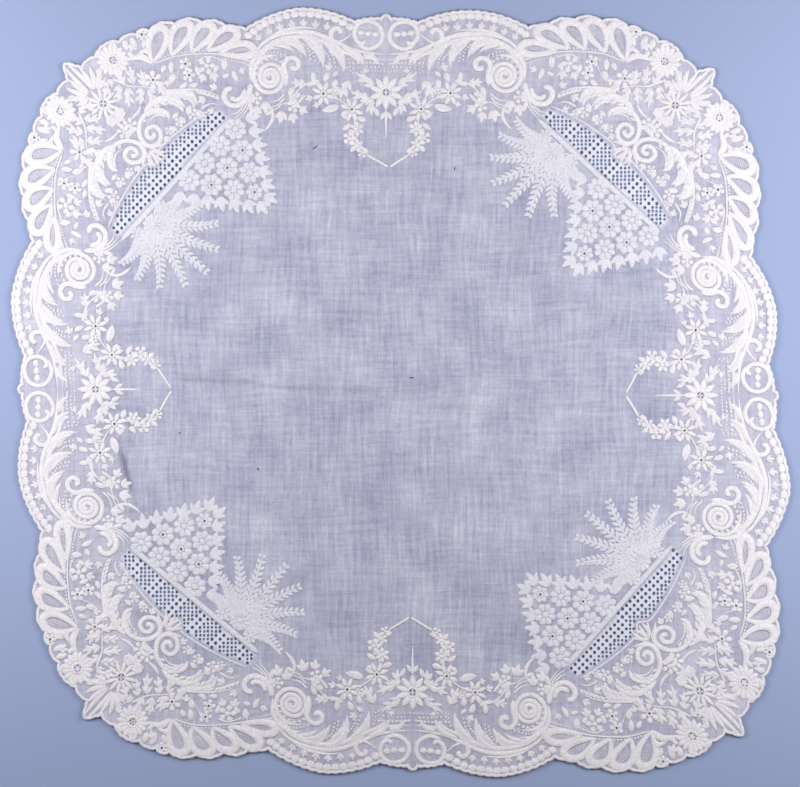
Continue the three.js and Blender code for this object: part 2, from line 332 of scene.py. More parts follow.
@dataclass(frozen=True)
class HandLayout:
    """Where the marks of the regular pattern came to lie on the finished cloth."""

    side_tip: Point = (0, 212.3)
    crest: Point = (49.6, 213.1)
    notch: Point = (80.3, 203.5)
    feather: Point = (106.3, 208.2)
    bud: Point = (136.6, 204.6)
    corner_tip: Point = (184.4, 184.4)
    corner_scrolls: Point = (142.9, 142.9)
    laid_tips: Sequence[Point] = ((211.6, -1.9), (-8.4, 211.8), (-214.9, 1.5), (6.5, -212.2))
    laid_corners: Sequence[Point] = (
        (175.5, 181.2),
        (-188.9, 184.3),
        (-177.8, -183),
        (191.8, -192.6),
    )
    laid_scrolls: Sequence[Point] = (
        (132.7, 141.2),
        (-145.6, 139.7),
        (-136.6, -137.7),
        (143.6, -143.5),
    )
    laid_rising: Sequence[Sequence[Point]] = (
        ((209.5, 46.2), (195.7, 75.8), (198.2, 102.8), (195.8, 133.2)),
        ((-57, 214.9), (-87, 203.5), (-111.7, 207), (-141.2, 202.3)),
        ((-213.7, -47.8), (-200.9, -78.2), (-203.4, -105.2), (-198.8, -134.8)),
        ((55.8, -215.1), (86.2, -204.5), (112.4, -209.4), (142.8, -208.9)),
    )
    laid_falling: Sequence[Sequence[Point]] = (
        ((127.6, 204.2), (97.3, 208.3), (71.3, 204.2), (40.8, 213.3)),
        ((-207.4, 138.8), (-210.8, 109.6), (-206.2, 84.5), (-217.7, 52.6)),
        ((-130, -201.6), (-99.5, -201.7), (-74.4, -200), (-43.4, -213.2)),
        ((208.2, -141.6), (208.4, -113), (204.4, -86.4), (217.6, -55)),
    )
    field_radius: float = 70.0
    border_radius: float = 150.0
    inner_share: float = 0.78
    outer_share: float = 0.98

    def edge_marks(self) -> tuple[np.ndarray, np.ndarray]:
        """Gather the marks of the edge: tips of the sides and corners, and those between.

        Returns:
            The marks as drawn and as laid, anticlockwise from the right.
        """
        flank = np.array([self.crest, self.notch, self.feather, self.bud], float)
        tip = np.array([self.side_tip], float)
        corner = np.array([self.corner_tip], float)
        quarter = np.vstack([tip[:, ::-1], flank[:, ::-1], corner, flank[::-1]])
        drawn = np.vstack([turned(quarter, turn) for turn in range(4)])
        rows = zip(self.laid_tips, self.laid_rising, self.laid_corners, self.laid_falling)
        laid = np.vstack([[tip, *rising, corner, *falling] for tip, rising, corner, falling in rows])
        return drawn, laid

    def inner_marks(self) -> tuple[np.ndarray, np.ndarray]:
        """Gather the marks of the inner border: the sides' middles and the corners' scrolls.

        Returns:
            The marks as drawn and as laid, anticlockwise from the right.
        """
        quarter = np.array([self.side_tip[::-1], self.corner_scrolls], float)
        drawn = np.vstack([turned(quarter, turn) for turn in range(4)])
        laid = np.vstack(list(zip(self.laid_tips, self.laid_scrolls))).astype(float)
        return drawn, laid

    @staticmethod
    def around(marks: tuple[np.ndarray, np.ndarray], angle: np.ndarray) -> np.ndarray:
        """Interpolate a ring of marks by direction.

        Args:
            marks: the marks as drawn and as laid.
            angle: directions in radians, from 0 to a full turn.

        Returns:
            The shift in x, the shift in y and the ring's radius, stacked last.
        """
        drawn, laid = marks
        at = np.append(np.arctan2(drawn[:, 1], drawn[:, 0]) % TURN, TURN)
        values = np.column_stack([laid - drawn, np.hypot(*drawn.T)])
        values = np.vstack([values, values[:1]])
        return np.stack([np.interp(angle, at, column) for column in values.T], axis=-1)

    def lay(self, points: np.ndarray) -> np.ndarray:
        """Move points of the regular pattern to where the handwork has them.

        Args:
            points: an array whose last axis is x and y.

        Returns:
            The moved points: each goes with the marks in its direction, the edge's marks near
            the edge and the scrolls' marks inside it, and the plain field stays.
        """
        angle = np.arctan2(points[..., 1], points[..., 0]) % TURN
        radius = np.hypot(points[..., 0], points[..., 1])
        edge = self.around(self.edge_marks(), angle)
        inner = self.around(self.inner_marks(), angle)
        span = self.outer_share - self.inner_share
        outward = np.clip((radius / edge[..., 2] - self.inner_share) / span, 0, 1)[..., None]
        grip = np.clip((radius - self.field_radius) / (self.border_radius - self.field_radius), 0, 1)
        grip = (grip**2 * (3 - 2 * grip))[..., None]
        return points + grip * (inner[..., :2] * (1 - outward) + edge[..., :2] * outward)


@dataclass(frozen=True)
class ScallopedEdge:
    """The buttonholed outline, from the middle of a side to the tip of a corner."""

    layout: HandLayout
    picot: float = 0.7
    rows: Sequence[EdgeRow] = (
        EdgeRow(2.6, 209.8, -0.3, 1),
        EdgeRow(18, 207.2, 0.9, 4),
        EdgeRow(80.3, 203.5, 7.8, 14),
        EdgeRow(92.5, 205.5, 0.8, 2),
        EdgeRow(106.3, 208.2, 2.5, 3),
        EdgeRow(121.5, 207.9, 3, 3),
        EdgeRow(136.6, 204.6, 3, 3),
        EdgeRow(143.8, 202.6, 2.2, 2),
        EdgeRow(153.5, 198, 1.8, 2),
        EdgeRow(167, 188.7, 3, 4),
        EdgeRow(174.6, 182, 1.6, 2),
        EdgeRow(178.6, 183.4, -0.3, 1),
        EdgeRow(184.4, 184.4, -0.3, 1),
    )

    def octant(self, steps: int, picot: float) -> np.ndarray:
        """Draw half a side and half a corner, a parabola for each scallop and each small one on it.

        Args:
            steps: points along each small scallop.
            picot: how far a small scallop stands out.

        Returns:
            The points from the middle of the side to the corner's tip.
        """
        line = [np.array([self.layout.side_tip], float)]
        rise = np.arange(1, steps + 1) / steps
        for row in self.rows:
            start = line[-1][-1]
            ends = bowed(start, np.array([row.x, row.y]), row.bulge, np.linspace(0, 1, row.picots + 1))
            pairs = zip(ends[:-1], ends[1:])
            line.extend(bowed(low, high, picot, rise) for low, high in pairs)
        return np.vstack(line)

    def loop(self, steps: int, inset: float = 0.0, picot: float | None = None) -> np.ndarray:
        """Give the whole outline as laid, anticlockwise.

        Args:
            steps: points along each small scallop.
            inset: how far inside the cut edge the line runs.
            picot: how far a small scallop stands out, or the edge's own where it is None.

        Returns:
            An array of shape (points, 2), with the first point not repeated.
        """
        octant = self.octant(steps, self.picot if picot is None else picot)
        quarter = np.vstack([octant[:-1, ::-1], octant[::-1][:-1]])
        whole = self.layout.lay(np.vstack([turned(quarter, turn) for turn in range(4)]))
        radius = np.hypot(*whole.T)[:, None]
        return whole * (1 - inset / radius)

    def reach(self, points: np.ndarray, inset: float = 0.0) -> np.ndarray:
        """Give the outline's distance from the origin in the direction of each point.

        Args:
            points: an array of shape (points, 2), as laid.
            inset: how far inside the cut edge the outline is taken.

        Returns:
            The distance for each point, interpolated by direction.
        """
        outline = self.loop(3, inset, 0.0)
        angle = np.arctan2(outline[:, 1], outline[:, 0]) % TURN
        order = np.argsort(angle)
        distance = np.hypot(*outline[order].T)
        return np.interp(np.arctan2(points[:, 1], points[:, 0]) % TURN, angle[order], distance, period=TURN)

    def middle(self) -> np.ndarray:
        """Give the middle of the outline's box, where the part has its origin."""
        outline = self.loop(2)
        return (outline.min(axis=0) + outline.max(axis=0)) / 2


@dataclass(frozen=True)
class Lens:
    """A lens of drawn-thread openwork, in a frame of its own: x along it, y towards the corner."""

    row: LensRow
    outer_end: float = 3.0
    outer_bow: float = 8.4
    inner: float = -4.0
    end_gap: float = 1.2
    notch: float = 4.6
    notch_width: float = 3.4
    pitch: float = 2.2
    block: float = 15.0
    block_half: float = 4.4
    stripe_half: float = 36.0
    hole: float = 0.76
    large_hole: float = 0.88
    margin: float = 0.55
    uneven_place: float = 0.09
    uneven_radius: float = 0.06
    seed: int = 7

    def frame(self) -> tuple[np.ndarray, np.ndarray, np.ndarray, float]:
        """Work out the lens's own frame.

        Returns:
            Its middle, its direction, the way to the corner, and half its length.
        """
        start = np.array([self.row.from_x, self.row.from_y])
        chord = np.array([self.row.to_x, self.row.to_y]) - start
        length = float(np.hypot(*chord))
        along = chord / length
        return start + chord / 2, along, np.array([-along[1], along[0]]), length / 2 - self.end_gap

    def place(self, points: np.ndarray) -> np.ndarray:
        """Take points from the lens's own frame to the cloth."""
        middle, along, out, _ = self.frame()
        return middle + points[..., :1] * along + points[..., 1:] * out

    def local(self, points: np.ndarray) -> tuple[np.ndarray, np.ndarray]:
        """Take points of the cloth to the lens's own frame."""
        middle, along, out, _ = self.frame()
        return (points - middle) @ along, (points - middle) @ out

    def outer(self, x: np.ndarray) -> np.ndarray:
        """Give the outer edge: a low arch, with a bell-shaped notch at its middle.

        Args:
            x: positions along the lens.

        Returns:
            The edge's y at each position.
        """
        half = self.frame()[3]
        arch = self.outer_bow * np.clip(1 - (x / half) ** 2, 0, 1)
        return self.outer_end + arch - self.notch * np.exp(-((x / self.notch_width) ** 2))

    def depth(self, points: np.ndarray) -> np.ndarray:
        """Measure how deep points lie inside the lens: the least distance to its edges and ends.

        Args:
            points: points of the cloth.

        Returns:
            The depth of each point, negative outside the lens.
        """
        x, y = self.local(points)
        across = np.minimum(self.outer(x) - y, y - self.inner)
        return np.minimum(across, self.frame()[3] - np.abs(x))

    def edges(self, gap: float, count: int) -> np.ndarray:
        """Give the outer and the inner edge as two lines that stand off by a gap.

        Args:
            gap: how far outside the edges the lines run.
            count: points on each line.

        Returns:
            An array of shape (2, count, 2), on the cloth.
        """
        x = np.linspace(-1, 1, count) * self.frame()[3]
        sides = np.stack([self.outer(x) + gap, np.full(count, self.inner - gap)])
        return self.place(np.stack([np.broadcast_to(x, sides.shape), sides], axis=-1))

    def holes(self) -> tuple[np.ndarray, np.ndarray]:
        """Lay out the drawn-thread holes on the weave's square grid.

        Returns:
            The holes' middles, and the radius of each: small in the close grid and larger where
            every other hole is left out, all a little uneven.
        """
        middle, _, _, half = self.frame()
        reach = math.ceil(half / self.pitch)
        steps = np.arange(-reach, reach + 1)
        column, line = np.meshgrid(steps, steps)
        grid = np.column_stack([column.ravel(), line.ravel()])
        middles = middle + grid * self.pitch
        x, y = self.local(middles)
        if self.row.style is Openwork.BLOCKS:
            offset = (x - self.row.measure + self.block / 2) % self.block - self.block / 2
            close = np.abs(offset) < self.block_half
        else:
            close = (y > self.outer(x) - self.row.measure) & (np.abs(x) < self.stripe_half)
        kept = (self.depth(middles) > self.margin) & (close | (grid.sum(axis=1) % 2 == 0))
        uneven = np.random.default_rng(self.seed).normal(0, 1, (len(grid), 3))[kept]
        even_radii = np.where(close, self.hole, self.large_hole)[kept]
        radii = even_radii * (1 + self.uneven_radius * uneven[:, 2].clip(-2, 1.5))
        return middles[kept] + self.uneven_place * uneven[:, :2].clip(-2, 2), radii


LENSES = (
    LensRow(79.5, 157.8, 149.3, 92.8, Openwork.BLOCKS, -5.1),
    LensRow(-161.5, 87.5, -98.5, 157.8, Openwork.STRIPE, 5.6),
    LensRow(-82, -151.5, -156, -90, Openwork.BLOCKS, -1.4),
    LensRow(156.5, -89, 95.5, -158.5, Openwork.STRIPE, 3.8),
)


@dataclass
class Patch:
    """A worked surface: its points, its faces and the stitch coordinates of each point."""

    points: np.ndarray
    faces: np.ndarray
    stitch: np.ndarray


@dataclass(frozen=True)
class Lawn:
    """The sheer sheet: its height over the table and its openings."""

    edge: ScallopedEdge
    lenses: Sequence[Lens]
    eyelets: np.ndarray
    level: float = 1.28
    wave: float = 0.08
    wave_lengths: Place = (31.0, 37.0, 47.0)
    spacing: float = 2.0
    edge_inset: float = 0.5
    hole_sides: int = 12
    hole_aspect: float = 1.2
    hole_core: float = 0.9
    hole_gap: float = 0.4
    weld: float = 1e-5
    eyelet_radius: float = 0.5
    eyelet_rim: float = 1.0
    worked_span: float = 0.8
    haze_from: float = 0.74
    haze_span: float = 0.1
    # How deep a crease trough sinks before its painted shade is full, and the power of that shade.
    trough_shade_depth: float = 0.8
    trough_shade_power: float = 1.5
    crease_spacing: float = 0.8
    crease_least: float = 0.03
    crease_fade: float = 0.25
    creases: Sequence[CreaseRow] = (
        CreaseRow(-131, 7.4, -68, 4.6, 1.7, -0.45),
        CreaseRow(-86, 3.2, -2, 0.4, 1.8, -0.42),
        CreaseRow(-128, 11.6, -4, 5.2, 3.0, 0.2),
        CreaseRow(14, -8.8, 50, -9.4, 1.7, -0.32),
        CreaseRow(68, -9.0, 124, -8.0, 1.7, -0.28),
        CreaseRow(-34, -58, 0, -58, 2.4, 0.18),
        CreaseRow(-157.6, -29, -150.2, -57, 2.1, -0.8),
        CreaseRow(-152.2, -50, -146.4, -69, 1.7, -0.35),
        CreaseRow(-153.2, -28, -145.4, -58, 2.4, 0.4),
    )

    def height(self, points: np.ndarray) -> np.ndarray:
        """Give the sheet's height: its level, long low waves, and soft creases.

        Args:
            points: an array whose last axis is x and y, as laid.

        Returns:
            The height of each point: a sine along x that wanders with y, and a sine along y.
        """
        x, y = points[..., 0], points[..., 1]
        across, down, wander = self.wave_lengths
        rise = self.wave * np.sin(x / across + 0.6 * np.sin(y / wander)) + self.wave * np.sin(y / down + 1.2)
        return self.level + rise + self.creased(points)

    def creased(self, points: np.ndarray) -> np.ndarray:
        """Give how far the creases lift or sink each point.

        Args:
            points: an array whose last axis is x and y, as laid.

        Returns:
            The rise of each point; a crease is a bell across its line that fades at its ends.
        """
        rise = np.zeros(points.shape[:-1])
        for crease in self.creases:
            start = np.array([crease.from_x, crease.from_y])
            chord = np.array([crease.to_x, crease.to_y]) - start
            length = np.hypot(*chord)
            along = ((points - start) @ chord) / length**2
            across = ((points - start) @ np.array([-chord[1], chord[0]])) / length
            fade = np.clip(along / self.crease_fade, 0, 1) * np.clip((1 - along) / self.crease_fade, 0, 1)
            rise = rise + crease.depth * fade * np.exp(-((across / crease.width) ** 2))
        return rise

    def openings(self) -> tuple[np.ndarray, np.ndarray]:
        """Gather every hole through the sheet, openwork first and then eyelets.

        Returns:
            The holes' middles and their radii.
        """
        drawn = [lens.holes() for lens in self.lenses]
        middles = np.vstack([*(middle for middle, _ in drawn), self.eyelets])
        eyelet_radii = np.full(len(self.eyelets), self.eyelet_radius)
        return middles, np.concatenate([*(radius for _, radius in drawn), eyelet_radii])

    def patch(self) -> Patch:
        """Triangulate the sheet inside its outline and round its openings.

        Returns:
            The sheet's points, triangles and, as stitch coordinates, the marks of each point.
        """
        outline = self.edge.loop(3, self.edge_inset, 0.0)
        middles, radii = self.openings()
        angle = TURN * np.arange(self.hole_sides) / self.hole_sides
        ring = np.stack([np.cos(angle), self.hole_aspect * np.sin(angle)], axis=-1)
        rims = (middles[:, None] + radii[:, None, None] * ring).reshape(-1, 2)
        points = np.vstack([outline, rims, self.inner_points(outline, middles, radii)])
        count = len(outline)
        first = np.arange(count)
        around = np.arange(len(rims)).reshape(-1, self.hole_sides) + count
        edges = np.vstack(
            [
                np.column_stack([first, np.roll(first, -1)]),
                np.column_stack([around.ravel(), np.roll(around, -1, axis=1).ravel()]),
            ]
        )
        result = delaunay_2d_cdt([Vector(p) for p in points], edges.tolist(), [], 1, self.weld)
        flat = np.array([tuple(p) for p in result[0]])
        faces = np.array(result[2])
        faces = faces[~self.in_hole(flat[faces].mean(axis=1), middles, radii)]
        return Patch(np.column_stack([flat, self.height(flat)]), faces, self.marks(flat))

    def inner_points(self, outline: np.ndarray, middles: np.ndarray, radii: np.ndarray) -> np.ndarray:
        """Fill the outline with a grid of points, closer in the creases.

        Args:
            outline: the sheet's outline.
            middles: the holes' middles.
            radii: the holes' radii.

        Returns:
            The points inside the outline and clear of the holes.
        """
        low, high = outline.min(axis=0), outline.max(axis=0)

        def even(step: float) -> np.ndarray:
            """Fill the outline's box with points a step apart."""
            axes = [np.arange(low[i] + step / 2, high[i], step) for i in range(2)]
            return np.stack(np.meshgrid(*axes), axis=-1).reshape(-1, 2)

        wide, close = even(self.spacing), even(self.crease_spacing)
        plain = np.abs(self.creased(wide)) < self.crease_least
        folded = np.abs(self.creased(close)) >= self.crease_least
        grid = np.vstack([wide[plain], close[folded]])
        grid = grid[np.hypot(*grid.T) < self.edge.reach(grid, self.edge_inset) - self.spacing / 2]
        gap = np.min(
            [np.hypot(grid[:, 0] - m[0], grid[:, 1] - m[1]) - r for m, r in zip(middles, radii)], axis=0
        )
        return grid[gap > self.hole_gap]

    def in_hole(self, points: np.ndarray, middles: np.ndarray, radii: np.ndarray) -> np.ndarray:
        """Tell which points lie in a hole: nearer to its middle than its flat sides.

        Args:
            points: points of the sheet.
            middles: the holes' middles.
            radii: the holes' radii.

        Returns:
            True for each point in a hole.
        """
        inside = np.zeros(len(points), bool)
        for middle, radius in zip(middles, radii):
            offset = (points - middle) / (1, self.hole_aspect)
            inside |= np.hypot(*offset.T) < radius * self.hole_core
        return inside

    def marks(self, points: np.ndarray) -> np.ndarray:
        """Mark the sheet for its finish.

        Args:
            points: points of the sheet.

        Returns:
            How far each point is in openwork, in the border and in a crease trough that gets painted shade,
            from 0 to 1.
        """
        depth = np.max([lens.depth(points) for lens in self.lenses], axis=0)
        gap = np.min([np.hypot(*(points - eyelet).T) for eyelet in self.eyelets], axis=0)
        worked = np.maximum(np.clip(depth / self.worked_span, 0, 1), gap < self.eyelet_rim)
        share = np.hypot(*points.T) / self.edge.reach(points)
        haze = np.clip((share - self.haze_from) / self.haze_span, 0, 1)
        # Painted shade: crease troughs are darkened in colour, and deeper troughs more.
        trough_shade = np.clip(-self.creased(points) / self.trough_shade_depth, 0, 1) ** self.trough_shade_power
        return np.column_stack([worked, haze, trough_shade])


@dataclass(frozen=True)
class Needle:
    """Works padded satin stitch on the lawn."""

    layout: HandLayout
    lawn: Lawn
    sides: int = 8
    under: float = 0.3

    def satin(self, lines: np.ndarray, half: np.ndarray, loft: float, vein: float = 0.0) -> Patch:
        """Carry a padded section along laid lines.

        Args:
            lines: an array of shape (lines, points, 2), as laid.
            half: the half width at each point, of shape (points,) or (lines, points).
            loft: how far the stitching stands up over the lawn.
            vein: how strongly painted shade darkens a groove along the middle, from 0 to 1.

        Returns:
            Closed bands: the section is half an ellipse above the lawn and a flatter one
            below, scaled by the half width, with flat ends.
        """
        count, steps, _ = lines.shape
        half = np.broadcast_to(half, (count, steps))
        ahead = np.gradient(lines, axis=1)
        length = np.maximum(np.hypot(ahead[..., 0], ahead[..., 1]), 1e-9)
        left = np.stack([-ahead[..., 1], ahead[..., 0]], axis=-1) / length[..., None]
        angle = TURN * np.arange(self.sides) / self.sides
        across, rise = np.cos(angle), np.sin(angle)
        rise = np.where(rise > 0, rise, self.under * rise)
        flat = lines[:, :, None] + (half[..., None] * across)[..., None] * left[:, :, None]
        lift = loft * np.sqrt(half / half.max(axis=1, keepdims=True))
        up = self.lawn.height(lines)[..., None] + lift[..., None] * rise
        points = np.concatenate([flat, up[..., None]], axis=-1).reshape(-1, 3)
        along = np.cumsum(np.hypot(*np.diff(lines, axis=1, prepend=lines[:, :1]).transpose(2, 0, 1)), axis=1)
        stitch = np.stack(np.broadcast_arrays(along[..., None], across, vein), axis=-1).reshape(-1, 3)
        return Patch(points, self.tube_faces(count, steps), stitch)

    def tube_faces(self, count: int, steps: int) -> np.ndarray:
        """Give the quads of many closed tubes, with three quads over each end.

        Args:
            count: how many tubes.
            steps: rings along each tube.

        Returns:
            An array of shape (faces, 4) of point numbers, facing outwards.
        """
        index = np.arange(count * steps * self.sides).reshape(count, steps, self.sides)
        near, far = index[:, :-1], index[:, 1:]
        walls = np.stack([near, np.roll(near, -1, 2), np.roll(far, -1, 2), far], axis=-1)
        cap = np.array([[0, 1, 2, 3], [0, 3, 4, 7], [4, 5, 6, 7]])
        starts = index[:, 0][:, cap[:, ::-1]]
        ends = index[:, -1][:, cap]
        return np.vstack([walls.reshape(-1, 4), starts.reshape(-1, 4), ends.reshape(-1, 4)])

    def pattern(
        self, lines: np.ndarray, half: np.ndarray, loft: float, mirror: bool = True, vein: float = 0.0
    ) -> Patch:
        """Work pattern lines on every side, each moved to where the handwork has it.

        Args:
            lines: an array of shape (lines, points, 2), as drawn.
            half: the half width at each point, of shape (points,) or (lines, points).
            loft: how far the stitching stands up over the lawn.
            mirror: whether each line is also mirrored in the corner's diagonal.
            vein: how strongly painted shade darkens a groove along the middle, from 0 to 1.

        Returns:
            The bands of all copies.
        """
        laid = self.layout.lay(copies(lines, mirror))
        repeats = len(laid) // len(lines)
        widths = np.tile(np.broadcast_to(half, lines.shape[:2]), (repeats, 1))
        return self.satin(laid, widths, loft, vein)


def leaf_lines(rows: Sequence[LeafRow], steps: int = 8) -> tuple[np.ndarray, np.ndarray]:
    """Draw leaves, each a parabola from base to tip.

    Args:
        rows: the leaves.
        steps: points along each.

    Returns:
        The middle lines and the half widths.
    """
    along = np.linspace(0, 1, steps)
    lines = [
        bowed(np.array([row.base_x, row.base_y]), np.array([row.tip_x, row.tip_y]), row.bend, along)
        for row in rows
    ]
    half = np.array([row.width for row in rows])[:, None] / 2 * Taper.LEAF.share(along)
    return np.stack(lines), half


def sprig_leaves(
    row: SprigRow, spread: float = 38.0, share: float = 0.48, fall: float = 0.2, curl: float = 0.06
) -> list[LeafRow]:
    """Spread a sprig's leaves to both sides of its direction, the outer ones shorter.

    Args:
        row: the sprig.
        spread: how far the outer leaves turn away, in degrees.
        share: a leaf's width as a share of its length.
        fall: how much shorter the outer leaves are, as a share.
        curl: how far the outer leaves bend, as a share of their length.

    Returns:
        The leaves.
    """
    leaves = []
    for turn in np.linspace(-1, 1, row.leaves):
        angle = math.radians(row.angle + spread * turn)
        length = row.length * (1 - fall * abs(turn))
        tip_x, tip_y = row.x + length * math.cos(angle), row.y + length * math.sin(angle)
        leaves.append(LeafRow(row.x, row.y, tip_x, tip_y, share * length, -curl * length * turn))
    return leaves


def lobed(
    row: LeafRow, span: Point = (0.06, 0.42), reach: float = 0.36, slim: float = 0.62, stout: float = 0.5
) -> list[LeafRow]:
    """Part a leaf into a slim middle lobe and two pairs of side lobes that lean forwards.

    Args:
        row: the whole leaf.
        span: where the two pairs of side lobes start, as shares of the leaf's length.
        reach: how far a side lobe runs forwards, as a share of the length.
        slim: the middle lobe's width and the side lobes' way out, as a share of the width.
        stout: a side lobe's width, as a share of the width.

    Returns:
        The lobes, the middle one first.
    """
    base, tip = np.array([row.base_x, row.base_y]), np.array([row.tip_x, row.tip_y])
    axis = tip - base
    side = np.array([-axis[1], axis[0]]) / np.hypot(*axis) * row.width * slim
    lobes = [row._replace(width=slim * row.width)]
    for along in span:
        start = base + along * axis
        for turn in (-1, 1):
            end = start + reach * axis + turn * side
            lobes.append(LeafRow(*start, *end, stout * row.width, -0.08 * turn * row.width))
    return lobes


def plume_lobes(row: PlumeRow, least: float = 0.6, curl: float = 0.12) -> list[LeafRow]:
    """Set lobes along a spine, each turned from its direction by the lean.

    Args:
        row: the plume.
        least: the shortest lobe's share of the reach; a sine makes the middle ones longest.
        curl: how far a lobe bends, as a share of the reach.

    Returns:
        The lobes.
    """
    spine = spline(row.points, row.count + 2)
    ahead = np.gradient(spine, axis=0)[1:-1]
    angle = np.arctan2(ahead[:, 1], ahead[:, 0]) + math.radians(row.lean)
    reach = row.reach * (least + (1 - least) * np.sin(math.pi * np.linspace(0.1, 0.9, row.count)))
    tips = spine[1:-1] + reach[:, None] * heading(angle)
    bend = curl * math.copysign(row.reach, row.lean)
    return [LeafRow(*base, *tip, row.width, bend) for base, tip in zip(spine[1:-1], tips)]


def ring_line(x: float, y: float, radius: float, steps: int = 13) -> np.ndarray:
    """Give a closed circle as one line."""
    angle = TURN * np.linspace(0, 1, steps)
    return (np.array([x, y]) + radius * heading(angle))[None]


def scroll_line(row: ScrollRow, steps: int = 72, power: float = 0.6, eye: float = 1.1) -> np.ndarray:
    """Draw a volute: its radius falls to the eye by a power of the way turned.

    Args:
        row: the volute.
        steps: points along it.
        power: the power of the way turned.
        eye: the radius at its inner end.

    Returns:
        An array of shape (steps, 2).
    """
    along = np.linspace(0, 1, steps)
    radius = row.radius + (eye - row.radius) * along**power
    angle = np.radians(row.angle + row.turn * along)
    return np.array([row.x, row.y]) + radius[:, None] * heading(angle)


def petal_lines(row: FlowerRow, steps: int = 6, heart: float = 0.2) -> tuple[np.ndarray, np.ndarray]:
    """Draw a flower's petals: short lines, evenly turned, from its heart outwards.

    Args:
        row: the flower.
        steps: points along each petal.
        heart: where the petals start, as a share of the flower's reach.

    Returns:
        The petals' middle lines and their half widths.
    """
    angle = TURN * (np.arange(row.petals) + 0.5) / row.petals
    reach = np.linspace(heart, 1, steps) * row.radius
    lines = np.array([row.x, row.y]) + heading(angle)[:, None] * reach[:, None]
    taper = Taper.LEAF if row.pointed else Taper.PETAL
    return lines, row.petal_width / 2 * taper.share(np.linspace(0, 1, steps))


def bead_lines(middles: np.ndarray, radius: float, steps: int = 6) -> tuple[np.ndarray, np.ndarray]:
    """Draw padded dots: short lines whose half width is that of a circle.

    Args:
        middles: the dots' middles.
        radius: their radius.
        steps: points along each line, closer at its ends by a cosine.

    Returns:
        The lines and their half widths.
    """
    along = np.linspace(0, 1, steps)
    reach = radius * -np.cos(math.pi * along)
    lines = middles[:, None] + np.stack([reach, np.zeros(steps)], axis=-1)
    return lines, radius * Taper.ROUND.share((1 - np.cos(math.pi * along)) / 2)


def feather_ring(
    row: FeatherRow, steps: int = 30, plump: float = 1.36, root_half: float = 1.0, tip_more: float = 1.75
) -> tuple[np.ndarray, np.ndarray]:
    """Give the padded outline of a feather: a teardrop, pointed at the root.

    Args:
        row: the feather.
        steps: points round the teardrop.
        plump: how much the sides swell, so that the teardrop comes to its width.
        root_half: the ring's half width at the root.
        tip_more: how much more it is at the tip.

    Returns:
        The ring's middle line, closed: its way along the spine is half of one less a cosine and
        its swell a sine times the root of that; and its half widths, fuller towards the tip.
    """
    angle = TURN * np.linspace(0, 1, steps)
    share = (1 - np.cos(angle)) / 2
    spine = bowed(np.array([row.root_x, row.root_y]), np.array([row.tip_x, row.tip_y]), row.bend, share)
    axis = np.array([row.tip_x - row.root_x, row.tip_y - row.root_y])
    side = np.array([-axis[1], axis[0]]) / np.hypot(*axis)
    swell = row.width / 2 * np.sin(angle) * np.sqrt(share) * plump
    return (spine - swell[:, None] * side)[None], root_half + tip_more * share**0.7


@dataclass
class Needlework:
    """One joined piece of stitching."""

    name: str
    patches: list[Patch]

    def joined(self) -> Patch:
        """Join all surfaces.

        Returns:
            One surface, with the faces renumbered.
        """
        starts = np.cumsum([0, *(len(patch.points) for patch in self.patches)])
        faces = [patch.faces + start for patch, start in zip(self.patches, starts)]
        return Patch(
            np.vstack([patch.points for patch in self.patches]),
            np.vstack(faces),
            np.vstack([patch.stitch for patch in self.patches]),
        )


@dataclass(frozen=True)
class Maker:
    """Turns worked surfaces into Blender objects that ride on the part."""

    origin: np.ndarray

    def piece(self, name: str, patch: Patch, finish: bpy.types.Material) -> bpy.types.Object:
        """Make a mesh object in the part's frame.

        Args:
            name: the piece's name.
            patch: its surface, in millimetres as laid.
            finish: its material.

        Returns:
            The new object, at the origin, riding on the part's one body.
        """
        points = (patch.points - np.append(self.origin, 0)) * MM
        mesh = bpy.data.meshes.new(name)
        mesh.from_pydata(points, [], patch.faces.tolist())
        mesh.polygons.foreach_set("use_smooth", np.ones(len(mesh.polygons), bool))
        stitch = mesh.attributes.new("stitch", "FLOAT_VECTOR", "POINT")
        stitch.data.foreach_set("vector", patch.stitch.astype(np.float32).ravel())
        mesh.materials.append(finish)
        mesh.update()
        piece = bpy.data.objects.new(name, mesh)
        bpy.context.scene.collection.objects.link(piece)
        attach(piece, BODY)
        LOG.info("%s: %d points, %d faces", name, len(points), len(patch.faces))
        return piece


